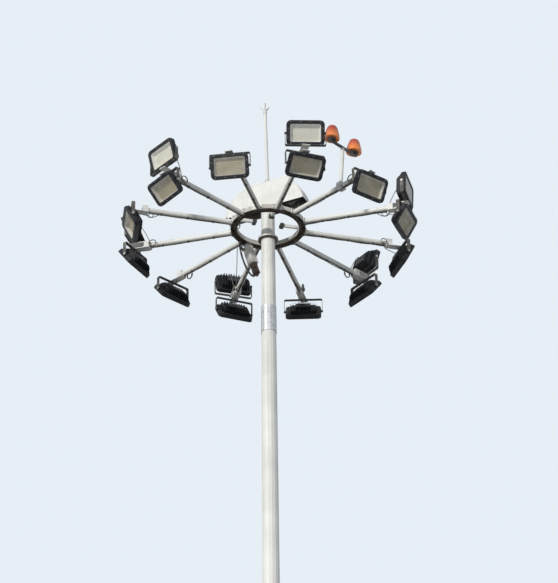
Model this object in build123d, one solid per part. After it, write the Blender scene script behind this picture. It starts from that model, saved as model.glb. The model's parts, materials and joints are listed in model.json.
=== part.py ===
import os

from build123d import *

# High mast floodlight tower. Millimetres, +Z up.
# The origin is the centre of the base flange's underside. The mast stands on +Z.
# Azimuths are measured from +X towards +Y.

# Fits
seat_gap = 0.3
pin_clearance = 0.1
slip_gap = 0.5

# Mast tube: sixteen flat sides, slip jointed sections
mast_sides = 16
mast_base_width = 268.0
mast_taper = 0.0071
lower_wall = 6.0
middle_wall = 5.0
upper_wall = 4.0
lower_top = 6600.0
middle_top = 12400.0
slip_lap = 400.0
mast_top = 19110.0
head_section_length = 1445.0

# Base flange and its gussets
flange_diameter = 500.0
flange_thickness = 28.0
cable_entry_diameter = 90.0
cable_entry_offset = 70.0
anchor_count = 8
anchor_circle = 410.0
anchor_hole = 33.0
gusset_height = 170.0
gusset_reach = 212.0
gusset_thickness = 12.0
gusset_toe = 15.0

# Access opening near the ground
door_width = 130.0
door_height = 620.0
door_centre_height = 900.0
door_corner = 40.0
door_frame_rim = 22.0
door_frame_inner_depth = 100.0
door_frame_face = 150.0
door_thickness = 5.0
door_overlap = 14.0

# Galvanised sleeve over the head joint
sleeve_height = 330.0
sleeve_wall_top = 4.0
sleeve_wall_bottom = 5.0

# Docking collar, a clamp on the mast a little below the ring
collar_below_ring = 172.0
collar_diameter = 228.0
collar_height = 26.0

# Floodlight ring: a rolled channel, open below
ring_below_top = 210.0
ring_outer_radius = 426.0
ring_width = 75.0
ring_depth = 60.0
ring_wall = 5.0

# Arms
arm_count = 12
first_arm_azimuth = -135.0
arm_diameter = 58.0
arm_wall = 3.5
arm_reach = 1460.0
arm_flange_width = 104.0
arm_flange_height = 58.0
arm_flange_thickness = 8.0

# Arm heads, which carry the yokes
head_length = 65.0
head_width = 84.0
head_height = 80.0
head_plate_margin = 10.0
head_plate_thickness = 8.0

# Yokes: a flat bar bent to a U
yoke_bar_width = 40.0
yoke_bar_thickness = 5.0
yoke_bend_radius = 14.0
lower_yoke_beyond_arm = 115.0
upper_yoke_beyond_arm = 150.0
lower_pivot_drop = 203.0
upper_pivot_rise = 203.0
yoke_end_beyond_pivot = 20.0
yoke_end_flat = 1.0
flood_side_clearance = 10.0

# Floodlights
flood_width = 420.0
flood_height = 280.0
flood_corner = 50.0
flood_front = 40.0
flood_rim_back = 14.0
flood_rim_wall = 12.0
flood_wall = 4.0
lens_width = 350.0
lens_height = 210.0
lens_thickness = 5.0
lens_recess = 3.0
lens_corner = 24.0
lens_ledge = 8.0
housing_width = 290.0
housing_height = 176.0
housing_depth = 36.0
fin_count = 13
fin_thickness = 4.0
fin_depth = 70.0
fin_spread = 360.0
fin_rim_inset = 8.0
fin_back_width = 300.0
fin_back_height = 184.0
driver_width = 170.0
driver_height = 92.0
driver_depth = 38.0
driver_corner = 12.0
pivot_pin_diameter = 16.0
pivot_boss_diameter = 28.0
pin_head_thickness = 8.0

# Swing of each yoke about its bolt, seen from above, by arm number
lower_swing = {1: -7, 2: 7, 3: 4, 4: -8, 5: -5, 6: 5, 7: -7, 8: 13, 9: 6, 10: -3, 11: -15, 12: -8}
upper_swing = {1: -5, 3: -13, 5: 0, 7: -10, 9: 1, 11: -2}

# How far each floodlight is tilted down from the level, by arm number
lower_tilt = {1: 43, 2: 25, 3: 47, 4: 26, 5: 31, 6: 27, 7: 39, 8: 36, 9: 37, 10: 40, 11: 36, 12: 29}
upper_tilt = {1: 16, 3: 27, 5: 3, 7: 18, 9: 21, 11: 20}

# Cables tied under the arms
cable_diameter = 16.0
cable_ring_gap = 14.0
cable_head_gap = 10.0

# Guide arms inside the ring
guide_count = 4
guide_azimuth = 15.0
guide_inner_radius = 136.0
guide_bar_width = 30.0
guide_bar_thickness = 34.0
guide_pad_length = 46.0
guide_pad_height = 48.0
guide_pad_width = 60.0
guide_pad_round = 15.0

# Head gear on the mast top, under the hood
hood_azimuth = -26.0
cap_diameter = 180.0
cap_thickness = 15.0
cheek_beyond_ropes = 51.5
cheek_height = 150.0
cheek_end_height = 45.0
cheek_slope = 70.0
cheek_thickness = 8.0
cheek_gap = 64.0
pulley_diameter = 200.0
pulley_groove_depth = 10.0
pulley_width = 58.0
pulley_hub_diameter = 58.0
pulley_web_diameter = 70.0
pulley_height = 100.0
axle_diameter = 30.0
axle_overhang = 12.0
rope_diameter = 8.0
tie_diameter = 20.0
tie_places = (-130.0, 130.0)
tie_height = 125.0

# Hood over the head gear
hood_beyond_ropes = 103.5
hood_width = 200.0
hood_height = 345.0
hood_sheet = 3.0
hood_lip = 4.5
hood_top_left_inset = 344.0
hood_top_right_inset = 206.0
hood_left_bulge_inset = 126.0
hood_left_bulge_height = 246.0
hood_right_bulge_inset = 84.0
hood_right_bulge_height = 206.0
hood_ear_inset = 62.0
hood_ear_width = 60.0
hood_ear_drop = 28.0
hood_ear_lap = 12.0
hood_ear_hole = 34.0

# Lightning rod on the hood
rod_diameter = 38.0
rod_wall = 4.0
rod_length = 1010.0
rod_lean = 1.3
rod_seat = 0.5
rod_foot_size = 130.0
rod_foot_thickness = 8.0
rod_socket_diameter = 56.0
rod_socket_height = 70.0
prong_count = 3
prong_diameter = 16.0
prong_length = 110.0
prong_splay = 32.0
prong_azimuth = 180.0
terminal_cap_height = 30.0

# Rope lugs on the ring
lug_size = 62.0
lug_thickness = 8.0
rope_socket_diameter = 34.0
rope_socket_top = 20.0
rope_socket_height = 60.0

# Obstruction lamps on a post on arm 4
lamp_arm = 4
post_reach = 1150.0
post_diameter = 42.0
post_wall = 3.0
post_height = 467.0
post_lean = 3.5
post_foot_lap = 10.0
post_clamp_length = 70.0
post_clamp_width = 84.0
post_clamp_height = 84.0
cable_slot_clearance = 2.0
crossbar_length = 440.0
crossbar_size = 25.0
lamp_spacing = 355.0
lamp_base_diameter = 100.0
lamp_base_height = 15.0
lamp_diameter = 176.0
lamp_top_diameter = 100.0
lamp_rim_height = 26.0
lamp_height = 170.0
lamp_crown_round = 40.0
lamp_wall = 4.0

# Junction box under the ring
box_azimuth = 127.0
box_reach = 405.0
box_lean = 16.0
box_width = 90.0
box_depth = 96.0
box_height = 236.0
box_corner = 10.0
box_wall = 3.0
box_hanger_length = 100.0
box_hanger_width = 60.0
box_hanger_thickness = 6.0
box_neck_diameter = 42.0
box_neck_length = 32.0
plug_diameter = 84.0
plug_length = 130.0


def mast_width(height):
    """Width across the flats of the outer face at a height, with the slip joints' steps."""
    width = mast_base_width - mast_taper * height
    if height >= lower_top - slip_lap:
        width += 2 * (middle_wall + slip_gap)
    if height >= middle_top - slip_lap:
        width += 2 * (upper_wall + slip_gap)
    return width


def head_joint_height():
    return mast_top - head_section_length


def ring_height():
    return mast_top - ring_below_top


def polygon_at(width, height):
    outline = RegularPolygon(width / 2, mast_sides, major_radius=False, rotation=180 / mast_sides)
    return Pos(0, 0, height) * outline


def tapered_tube(bottom, top, bottom_width, top_width, bottom_bore, top_bore):
    outside = loft([polygon_at(bottom_width, bottom), polygon_at(top_width, top)])
    inside = loft([polygon_at(bottom_bore, bottom), polygon_at(top_bore, top)])
    return outside - inside


def mast_section(bottom, top, wall):
    bottom_width = mast_width(bottom)
    top_width = bottom_width - mast_taper * (top - bottom)
    return tapered_tube(bottom, top, bottom_width, top_width, bottom_width - 2 * wall, top_width - 2 * wall)


def rounded_block(width, height, depth, corner):
    """A plate in the XZ plane with its thickness from y = 0 to y = -depth."""
    return extrude(Plane.XZ * RectangleRounded(width, height, corner), depth)


def door_prism(width, height, corner, inner, outer):
    """A rounded prism on the mast's -Y side between two distances from the axis."""
    block = rounded_block(width, height, outer - inner, corner)
    return Pos(0, -inner, door_centre_height) * block


def make_base_flange():
    plate = Cylinder(flange_diameter / 2, flange_thickness)
    plate -= Pos(0, cable_entry_offset, 0) * Cylinder(cable_entry_diameter / 2, flange_thickness)
    for spot in PolarLocations(anchor_circle / 2, anchor_count):
        plate -= spot * Cylinder(anchor_hole / 2, flange_thickness)
    return Pos(0, 0, flange_thickness / 2) * plate


def make_base_gussets():
    foot = mast_width(0) / 2 - mast_taper / 2 * flange_thickness
    top_height = flange_thickness + gusset_height
    top = mast_width(0) / 2 - mast_taper / 2 * top_height
    outline = Plane.XZ * Polygon(
        (foot, flange_thickness),
        (gusset_reach, flange_thickness),
        (gusset_reach, flange_thickness + gusset_toe),
        (top + gusset_toe, top_height),
        (top, top_height),
        align=None,
    )
    gusset = extrude(outline, gusset_thickness / 2, both=True)
    step = 360 / anchor_count
    return [Rot(0, 0, (index + 0.5) * step) * gusset for index in range(anchor_count)]


def make_mast_lower():
    tube = mast_section(flange_thickness, lower_top, lower_wall)
    rim_width = door_width + 2 * door_frame_rim
    rim_height = door_height + 2 * door_frame_rim
    rim_corner = door_corner + door_frame_rim
    return tube - door_prism(rim_width, rim_height, rim_corner, 0, door_frame_face)


def make_door_frame():
    rim_width = door_width + 2 * door_frame_rim
    rim_height = door_height + 2 * door_frame_rim
    rim_corner = door_corner + door_frame_rim
    frame = door_prism(rim_width, rim_height, rim_corner, door_frame_inner_depth, door_frame_face)
    return frame - door_prism(door_width, door_height, door_corner, 0, door_frame_face)


def make_access_door():
    width = door_width + 2 * door_overlap
    height = door_height + 2 * door_overlap
    corner = door_corner + door_overlap
    return door_prism(width, height, corner, door_frame_face, door_frame_face + door_thickness)


def make_mast_sleeve():
    bottom = head_joint_height() - sleeve_height / 2
    top = head_joint_height() + sleeve_height / 2
    bottom_bore = mast_width(bottom) + 2 * slip_gap
    top_bore = mast_width(top) + 2 * slip_gap
    bottom_width = bottom_bore + 2 * sleeve_wall_bottom
    return tapered_tube(bottom, top, bottom_width, top_bore + 2 * sleeve_wall_top, bottom_bore, top_bore)


def make_docking_collar():
    middle = ring_height() - collar_below_ring
    bottom = middle - collar_height / 2
    top = middle + collar_height / 2
    bottom_bore = polygon_at(mast_width(bottom) + 2 * slip_gap, bottom)
    top_bore = polygon_at(mast_width(top) + 2 * slip_gap, top)
    collar = Pos(0, 0, middle) * Cylinder(collar_diameter / 2, collar_height)
    return collar - loft([bottom_bore, top_bore])


def arm_azimuth(number):
    return first_arm_azimuth + (number - 1) * 360 / arm_count


def at_arm(number, shape):
    """Put a shape that was drawn along +X at ring height onto an arm."""
    return Pos(0, 0, ring_height()) * Rot(0, 0, arm_azimuth(number)) * shape


def arm_numbers():
    return range(1, arm_count + 1)


def has_upper_flood(number):
    return number % 2 == 1


def make_ring():
    inner = ring_outer_radius - ring_width
    half = ring_depth / 2
    ring = Cylinder(ring_outer_radius, ring_depth) - Cylinder(inner, ring_depth)
    hollow_height = ring_depth - ring_wall
    hollow = Cylinder(ring_outer_radius - ring_wall, hollow_height)
    hollow -= Cylinder(inner + ring_wall, hollow_height)
    ring -= Pos(0, 0, hollow_height / 2 - half) * hollow
    return Pos(0, 0, ring_height()) * ring


def tube_along_x(start, end, diameter, wall):
    length = end - start
    tube = Cylinder(diameter / 2, length) - Cylinder(diameter / 2 - wall, length)
    return Pos((start + end) / 2, 0, 0) * Rot(0, 90, 0) * tube


def make_arms():
    seat = Cylinder(ring_outer_radius + seat_gap, 2 * arm_diameter)
    start = ring_outer_radius - ring_width / 2
    flange_end = ring_outer_radius + arm_flange_thickness
    flange = Box(flange_end - start, arm_flange_width, arm_flange_height)
    arm = tube_along_x(start, arm_reach, arm_diameter, arm_wall)
    arm += Pos((start + flange_end) / 2, 0, 0) * flange
    arm -= seat
    return [at_arm(number, arm) for number in arm_numbers()]


def make_arm_heads():
    start = arm_reach - head_length
    block = Box(head_length, head_width, head_height)
    block -= Rot(0, 90, 0) * Cylinder(arm_diameter / 2 + pin_clearance, head_length)
    block = Pos(start + head_length / 2, 0, 0) * block
    yoke_end = arm_reach + max(lower_yoke_beyond_arm, upper_yoke_beyond_arm) + yoke_bar_width / 2
    end = yoke_end + head_plate_margin
    plate = Box(end - start, head_width, head_plate_thickness)
    plate_offset = (head_height - head_plate_thickness) / 2
    plate_middle = (start + end) / 2
    single = block + Pos(plate_middle, 0, -plate_offset) * plate
    double = single + Pos(plate_middle, 0, plate_offset) * plate
    return [at_arm(number, double if has_upper_flood(number) else single) for number in arm_numbers()]


def yoke_shape(rise):
    """A U standing on z = 0 at the yoke bolt, with its pivot at z = rise."""
    inner = flood_width / 2 + flood_side_clearance
    outer = inner + yoke_bar_thickness
    bar = rise + yoke_end_beyond_pivot
    profile = Pos(0, bar / 2) * Rectangle(2 * outer, bar)
    profile -= Pos(0, bar / 2 + yoke_bar_thickness) * Rectangle(2 * inner, bar)
    outside = profile.vertices().group_by(Axis.Y)[0]
    profile = fillet(outside, yoke_bend_radius + yoke_bar_thickness)
    inside = profile.vertices().filter_by(lambda v: abs(abs(v.X) - inner) < 0.01 and v.Y < bar / 2)
    profile = fillet(inside, yoke_bend_radius)
    yoke = extrude(Plane.YZ * profile, yoke_bar_width / 2, both=True)
    ends = yoke.edges().filter_by(Axis.Y).group_by(Axis.Z)[-1]
    yoke = fillet(ends, (yoke_bar_width - yoke_end_flat) / 2)
    hole = Pos(0, 0, rise) * Rot(90, 0, 0) * Cylinder(pivot_pin_diameter / 2 + pin_clearance, 4 * outer)
    return yoke - hole


def at_lower_yoke(number, shape):
    """Turn a shape drawn at the yoke bolt by the yoke's swing, and put it on the arm."""
    bolt = Pos(arm_reach + lower_yoke_beyond_arm, 0, 0)
    return at_arm(number, bolt * Rot(0, 0, lower_swing[number]) * shape)


def at_upper_yoke(number, shape):
    bolt = Pos(arm_reach + upper_yoke_beyond_arm, 0, 0)
    return at_arm(number, bolt * Rot(0, 0, upper_swing[number]) * shape)


def make_lower_yokes():
    bridge = head_height / 2
    yoke = Pos(0, 0, -bridge) * Rot(180, 0, 0) * yoke_shape(lower_pivot_drop - bridge)
    return [at_lower_yoke(number, yoke) for number in arm_numbers()]


def make_upper_yokes():
    bridge = head_height / 2
    yoke = Pos(0, 0, bridge) * yoke_shape(upper_pivot_rise - bridge)
    return [at_upper_yoke(number, yoke) for number in arm_numbers() if has_upper_flood(number)]


def face_block(width, height, back, front, corner):
    """A rounded block square to the floodlight's face, which looks along +X."""
    outline = Plane.YZ.offset(back) * RectangleRounded(width, height, corner)
    return extrude(outline, front - back)


def fin_envelope():
    """The space behind the rim that the fins fill, which narrows towards the back."""
    rim_width = flood_width - 2 * fin_rim_inset
    rim_height = flood_height - 2 * fin_rim_inset
    front = Plane.YZ.offset(-flood_rim_back) * RectangleRounded(rim_width, rim_height, flood_corner)
    back_plane = Plane.YZ.offset(-flood_rim_back - fin_depth)
    back = back_plane * RectangleRounded(fin_back_width, fin_back_height, flood_corner)
    return loft([front, back])


def flood_fins():
    pitch = (fin_spread - fin_thickness) / (fin_count - 1)
    envelope = fin_envelope()
    plate = Pos(-flood_rim_back - fin_depth / 2, 0, 0) * Box(fin_depth, fin_thickness, flood_height)
    places = [(index - (fin_count - 1) / 2) * pitch for index in range(fin_count)]
    return [envelope & (Pos(0, place, 0) * plate) for place in places]


def flood_housing():
    body = face_block(flood_width, flood_height, -flood_rim_back, flood_front, flood_corner)
    housing_back = -flood_rim_back - housing_depth
    body += face_block(housing_width, housing_height, housing_back, -flood_rim_back, driver_corner)
    for fin in flood_fins():
        body += fin
    body += face_block(driver_width, driver_height, housing_back - driver_depth, housing_back, driver_corner)
    lens_front = flood_front - lens_recess
    lens_back = lens_front - lens_thickness
    body -= face_block(lens_width, lens_height, lens_back, flood_front, lens_corner)
    mouth_width = lens_width - 2 * lens_ledge
    mouth_height = lens_height - 2 * lens_ledge
    body -= face_block(mouth_width, mouth_height, 0, lens_front, lens_corner - lens_ledge)
    chamber_width = flood_width - 2 * flood_rim_wall
    chamber_height = flood_height - 2 * flood_rim_wall
    chamber_corner = flood_corner - flood_rim_wall
    chamber_back = flood_wall - flood_rim_back
    body -= face_block(chamber_width, chamber_height, chamber_back, lens_back - flood_wall, chamber_corner)
    inner_width = housing_width - 2 * flood_wall
    inner_height = housing_height - 2 * flood_wall
    body -= face_block(inner_width, inner_height, housing_back + flood_wall, 0, driver_corner - flood_wall)
    return body


def flood_pins():
    """Two pivot bolts, each with a washer between floodlight and yoke and its head outside."""
    side = flood_width / 2
    yoke_inside = side + flood_side_clearance
    yoke_outside = yoke_inside + yoke_bar_thickness
    head_start = yoke_outside + seat_gap
    profile = Polygon(
        (0, side + seat_gap),
        (pivot_boss_diameter / 2, side + seat_gap),
        (pivot_boss_diameter / 2, yoke_inside - seat_gap),
        (pivot_pin_diameter / 2, yoke_inside - seat_gap),
        (pivot_pin_diameter / 2, head_start),
        (pivot_boss_diameter / 2, head_start),
        (pivot_boss_diameter / 2, head_start + pin_head_thickness),
        (0, head_start + pin_head_thickness),
        align=None,
    )
    pin = revolve(Plane.XZ * profile, Axis.Z)
    return [Rot(turn, 0, 0) * pin for turn in (-90, 90)]


def flood_lens():
    front = flood_front - lens_recess
    return face_block(lens_width, lens_height, front - lens_thickness, front, lens_corner)


def make_floods():
    """One node for each floodlight, tilted down about its pivot pins."""
    shapes = [flood_housing(), flood_lens(), *flood_pins()]
    nodes = {}
    for number in arm_numbers():
        low = Pos(0, 0, -lower_pivot_drop) * Rot(0, lower_tilt[number], 0)
        nodes[f"lower_flood_{number:02d}"] = [at_lower_yoke(number, low * shape) for shape in shapes]
        if has_upper_flood(number):
            high = Pos(0, 0, upper_pivot_rise) * Rot(0, upper_tilt[number], 0)
            nodes[f"upper_flood_{number:02d}"] = [at_upper_yoke(number, high * shape) for shape in shapes]
    return nodes


def cable_drop():
    """How far the cable's axis lies below the arm's."""
    return (arm_diameter + cable_diameter) / 2


def make_arm_cables():
    start = ring_outer_radius + cable_ring_gap
    end = arm_reach - head_length - cable_head_gap
    cable = Rot(0, 90, 0) * Cylinder(cable_diameter / 2, end - start)
    cable = Pos((start + end) / 2, 0, -cable_drop()) * cable
    return [at_arm(number, cable) for number in arm_numbers()]


def at_guide(index, shape):
    return Pos(0, 0, ring_height()) * Rot(0, 0, guide_azimuth + index * 360 / guide_count) * shape


def make_guide_arms():
    start = guide_inner_radius + guide_pad_length
    end = ring_outer_radius - ring_wall
    middle = (start + end) / 2
    height = (ring_depth + guide_bar_thickness) / 2
    bar = Pos(middle, 0, height) * Box(end - start, guide_bar_width, guide_bar_thickness)
    return [at_guide(index, bar) for index in range(guide_count)]


def make_guide_pads():
    middle = guide_inner_radius + guide_pad_length / 2
    height = ring_depth / 2 + guide_bar_thickness - guide_pad_height / 2
    pad = Box(guide_pad_length, guide_pad_width, guide_pad_height)
    pad = fillet(pad.edges().filter_by(Axis.Y).group_by(Axis.X)[0], guide_pad_round)
    return [at_guide(index, Pos(middle, 0, height) * pad) for index in range(guide_count)]


def at_head(shape):
    """Put a shape drawn along +X at the mast top onto the mast head."""
    return Pos(0, 0, mast_top) * Rot(0, 0, hood_azimuth) * shape


def rope_reach():
    return ring_outer_radius - ring_width / 2


def pulley_reach():
    groove_radius = pulley_diameter / 2 - pulley_groove_depth
    return rope_reach() - groove_radius - rope_diameter / 2 - seat_gap


def make_head_cap():
    return at_head(Pos(0, 0, cap_thickness / 2) * Cylinder(cap_diameter / 2, cap_thickness))


def make_head_cheeks():
    end = rope_reach() + cheek_beyond_ropes
    top_end = end - cheek_slope
    outline = Plane.XZ * Polygon(
        (-end, cap_thickness),
        (end, cap_thickness),
        (end, cap_thickness + cheek_end_height),
        (top_end, cap_thickness + cheek_height),
        (-top_end, cap_thickness + cheek_height),
        (-end, cap_thickness + cheek_end_height),
        align=None,
    )
    cheek = extrude(outline, cheek_thickness / 2, both=True)
    for side in (-1, 1):
        axle = Cylinder(axle_diameter / 2 + pin_clearance, 2 * cheek_thickness)
        cheek -= Pos(side * pulley_reach(), 0, cap_thickness + pulley_height) * Rot(90, 0, 0) * axle
    for place in tie_places:
        tie = Cylinder(tie_diameter / 2 + pin_clearance, 2 * cheek_thickness)
        cheek -= Pos(place, 0, cap_thickness + tie_height) * Rot(90, 0, 0) * tie
    offset = (cheek_gap + cheek_thickness) / 2
    return [at_head(Pos(0, side * offset, 0) * cheek) for side in (-1, 1)]


def make_head_pulleys():
    half = pulley_width / 2
    groove = rope_diameter / 2 + seat_gap
    bore = axle_diameter / 2 + pin_clearance
    hub = pulley_hub_diameter / 2
    web = pulley_web_diameter / 2
    rim = pulley_diameter / 2
    bottom = rim - pulley_groove_depth
    profile = Polygon(
        (bore, -half),
        (hub, -half),
        (web, -2 * groove),
        (rim, -2 * groove),
        (bottom, -groove),
        (bottom, groove),
        (rim, 2 * groove),
        (web, 2 * groove),
        (hub, half),
        (bore, half),
        align=None,
    )
    pulley = revolve(Plane.XZ * profile, Axis.Z)
    height = cap_thickness + pulley_height
    return [at_head(Pos(side * pulley_reach(), 0, height) * Rot(90, 0, 0) * pulley) for side in (-1, 1)]


def make_pulley_axles():
    length = cheek_gap + 2 * (cheek_thickness + axle_overhang)
    height = cap_thickness + pulley_height
    axle = Rot(90, 0, 0) * Cylinder(axle_diameter / 2, length)
    return [at_head(Pos(side * pulley_reach(), 0, height) * axle) for side in (-1, 1)]


def make_hood_ties():
    length = hood_width - 2 * hood_sheet
    tie = Rot(90, 0, 0) * Cylinder(tie_diameter / 2, length)
    return [at_head(Pos(place, 0, cap_thickness + tie_height) * tie) for place in tie_places]


def hood_end():
    return rope_reach() + hood_beyond_ropes


def hood_outline():
    end = hood_end()
    left_top = (hood_top_left_inset - end, hood_height)
    left_bulge = (hood_left_bulge_inset - end, hood_left_bulge_height)
    right_top = (end - hood_top_right_inset, hood_height)
    right_bulge = (end - hood_right_bulge_inset, hood_right_bulge_height)
    edges = [
        Line((-end, 0), (end, 0)),
        ThreePointArc((end, 0), right_bulge, right_top),
        Line(right_top, left_top),
        ThreePointArc(left_top, left_bulge, (-end, 0)),
    ]
    return make_face(edges)


def make_hood():
    outline = hood_outline()
    lining = offset(outline, -hood_sheet)
    mouth = Pos(0, hood_sheet) * Rectangle(2 * (hood_end() - hood_lip), 2 * hood_sheet)
    shell = extrude(Plane.XZ * outline, hood_width / 2, both=True)
    inner = hood_width / 2 - hood_sheet
    shell -= extrude(Plane.XZ * lining, inner, both=True)
    shell -= extrude(Plane.XZ * mouth, inner, both=True)
    ear_place = hood_ear_inset - hood_end()
    ear = Rectangle(hood_ear_width, hood_ear_drop + hood_ear_lap, align=(Align.CENTER, Align.MAX))
    ear = Pos(ear_place, hood_ear_lap) * ear
    ear += Pos(ear_place, -hood_ear_drop) * Circle(hood_ear_width / 2)
    ear -= Pos(ear_place, -hood_ear_drop) * Circle(hood_ear_hole / 2)
    ear = extrude(Plane.XZ * ear, hood_sheet)
    shell += Pos(0, -inner, 0) * ear
    shell += Pos(0, inner + hood_sheet, 0) * ear
    return at_head(shell)


def at_rod(shape):
    """Put a shape drawn upright on the rod foot onto the rod, which leans towards -X."""
    foot_top = mast_top + hood_height + rod_foot_thickness
    return Pos(0, 0, foot_top) * Rot(0, -rod_lean, 0) * Rot(0, 0, hood_azimuth) * shape


def make_rod_foot():
    foot = Pos(0, 0, rod_foot_thickness / 2) * Box(rod_foot_size, rod_foot_size, rod_foot_thickness)
    foot = at_head(Pos(0, 0, hood_height) * foot)
    socket_start = -rod_foot_thickness / 2
    socket_length = rod_socket_height - socket_start
    socket = Cylinder(rod_socket_diameter / 2, socket_length)
    foot += at_rod(Pos(0, 0, socket_start + socket_length / 2) * socket)
    bore = Cylinder(rod_diameter / 2 + pin_clearance, rod_socket_height)
    return foot - at_rod(Pos(0, 0, rod_socket_height / 2) * bore)


def make_lightning_rod():
    rod = Cylinder(rod_diameter / 2, rod_length) - Cylinder(rod_diameter / 2 - rod_wall, rod_length)
    return at_rod(Pos(0, 0, rod_seat + rod_length / 2) * rod)


def make_air_terminal():
    top = rod_seat + rod_length
    cap_middle = top + terminal_cap_height / 2
    terminal = Pos(0, 0, cap_middle) * Cylinder(rod_diameter / 2 + rod_wall, terminal_cap_height)
    prong = Pos(0, 0, prong_length / 2) * Cylinder(prong_diameter / 2, prong_length)
    for index in range(prong_count):
        turn = prong_azimuth + index * 360 / prong_count
        terminal += Pos(0, 0, cap_middle) * Rot(0, 0, turn) * Rot(0, prong_splay, 0) * prong
    return at_rod(terminal)


def at_rope(side, shape):
    turn = hood_azimuth if side > 0 else hood_azimuth + 180
    return Pos(0, 0, ring_height()) * Rot(0, 0, turn) * shape


def make_rope_lugs():
    lug = Pos(0, 0, lug_thickness / 2) * Box(lug_size, lug_size, lug_thickness)
    socket = Cone(rope_socket_diameter / 2, rope_socket_top / 2, rope_socket_height)
    lug += Pos(0, 0, lug_thickness + rope_socket_height / 2) * socket
    return [at_rope(side, Pos(rope_reach(), 0, ring_depth / 2) * lug) for side in (1, -1)]


def make_hoist_ropes():
    start = ring_depth / 2 + lug_thickness + rope_socket_height
    end = ring_below_top + cap_thickness + pulley_height
    rope = Pos(rope_reach(), 0, (start + end) / 2) * Cylinder(rope_diameter / 2, end - start)
    return [at_rope(side, rope) for side in (1, -1)]


def make_post_clamp():
    clamp = Box(post_clamp_length, post_clamp_width, post_clamp_height)
    clamp -= Rot(0, 90, 0) * Cylinder(arm_diameter / 2 + pin_clearance, post_clamp_length)
    slot_top = cable_diameter - cable_drop()
    slot_height = post_clamp_height / 2 + slot_top
    slot = Box(post_clamp_length, cable_diameter + 2 * cable_slot_clearance, slot_height)
    clamp -= Pos(0, 0, slot_top - slot_height / 2) * slot
    return at_arm(lamp_arm, Pos(post_reach, 0, 0) * clamp)


def at_post(shape):
    """Put a shape drawn along the post, up from the clamp's top, onto the post that leans towards +X."""
    azimuth = arm_azimuth(lamp_arm)
    lean = Rot(0, 0, -azimuth) * Rot(0, post_lean, 0) * Rot(0, 0, azimuth)
    return at_arm(lamp_arm, Pos(post_reach, 0, post_clamp_height / 2) * lean * shape)


def make_lamp_post():
    length = post_height + post_foot_lap
    post = Cylinder(post_diameter / 2, length) - Cylinder(post_diameter / 2 - post_wall, length)
    clamp = Pos(post_reach, 0, 0) * Box(post_clamp_length, post_clamp_width, post_clamp_height)
    return at_post(Pos(0, 0, length / 2 - post_foot_lap) * post) - at_arm(lamp_arm, clamp)


def make_lamp_crossbar():
    bar = Box(crossbar_size, crossbar_length, crossbar_size)
    return at_post(Pos(0, 0, post_height + crossbar_size / 2) * bar)


def lamp_places(shape):
    top = post_height + crossbar_size
    return [at_post(Pos(0, side * lamp_spacing / 2, top) * shape) for side in (-1, 1)]


def make_lamp_bases():
    base = Pos(0, 0, lamp_base_height / 2) * Cylinder(lamp_base_diameter / 2, lamp_base_height)
    return lamp_places(base)


def lamp_dome(inset):
    """A tapered dome on a short rim, drawn inset from the lamp's outside."""
    rim = lamp_diameter / 2 - inset
    crown = lamp_top_diameter / 2 - inset
    slope = lamp_height - inset - lamp_rim_height
    dome = Pos(0, 0, lamp_rim_height / 2) * Cylinder(rim, lamp_rim_height)
    dome += Pos(0, 0, lamp_rim_height + slope / 2) * Cone(rim, crown, slope)
    return fillet(dome.edges().sort_by(Axis.Z)[-1], lamp_crown_round - inset)


def make_lamp_lenses():
    floor = Pos(0, 0, lamp_wall / 2) * Cylinder(lamp_diameter / 2 - lamp_wall, lamp_wall)
    lens = lamp_dome(0) - lamp_dome(lamp_wall) + floor
    return lamp_places(Pos(0, 0, lamp_base_height) * lens)


def at_hanger(shape):
    """Put a shape drawn under the ring onto the place where the junction box hangs."""
    plate_bottom = ring_height() - ring_depth / 2 - box_hanger_thickness
    return Rot(0, 0, box_azimuth) * Pos(box_reach, 0, plate_bottom) * shape


def at_box(shape):
    """Lean a shape, drawn hanging from the plate's middle, so that its foot goes towards +X."""
    return at_hanger(Rot(0, 0, -box_azimuth) * Rot(0, -box_lean, 0) * Rot(0, 0, box_azimuth) * shape)


def make_box_hanger():
    plate = Box(box_hanger_length, box_hanger_width, box_hanger_thickness)
    return at_hanger(Pos(0, 0, box_hanger_thickness / 2) * plate)


def make_junction_box():
    box = Box(box_depth, box_width, box_height)
    box = fillet(box.edges().filter_by(Axis.Z), box_corner)
    inner = Box(box_depth - 2 * box_wall, box_width - 2 * box_wall, box_height - 2 * box_wall)
    box -= fillet(inner.edges().filter_by(Axis.Z), box_corner - box_wall)
    neck_top = box_neck_length / 2
    neck_bottom = -box_neck_length - box_wall / 2
    neck = Cylinder(box_neck_diameter / 2, neck_top - neck_bottom)
    hung = at_box(Pos(0, 0, (neck_top + neck_bottom) / 2) * neck)
    hung -= at_hanger(Pos(0, 0, box_neck_length / 2) * Box(box_depth, box_depth, box_neck_length))
    return hung + at_box(Pos(0, 0, -box_neck_length - box_height / 2) * box)


def make_box_plug():
    plug = Cylinder(plug_diameter / 2, plug_length)
    return at_box(Pos(0, 0, -box_neck_length - box_height - plug_length / 2) * plug)


def write_node(name, shapes):
    solids = shapes if isinstance(shapes, list) else [shapes]
    whole = []
    for shape in solids:
        whole.extend(shape.solids())
    node = whole[0] if len(whole) == 1 else Compound(whole)
    export_step(node, f"parts/{name}.step")


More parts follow.
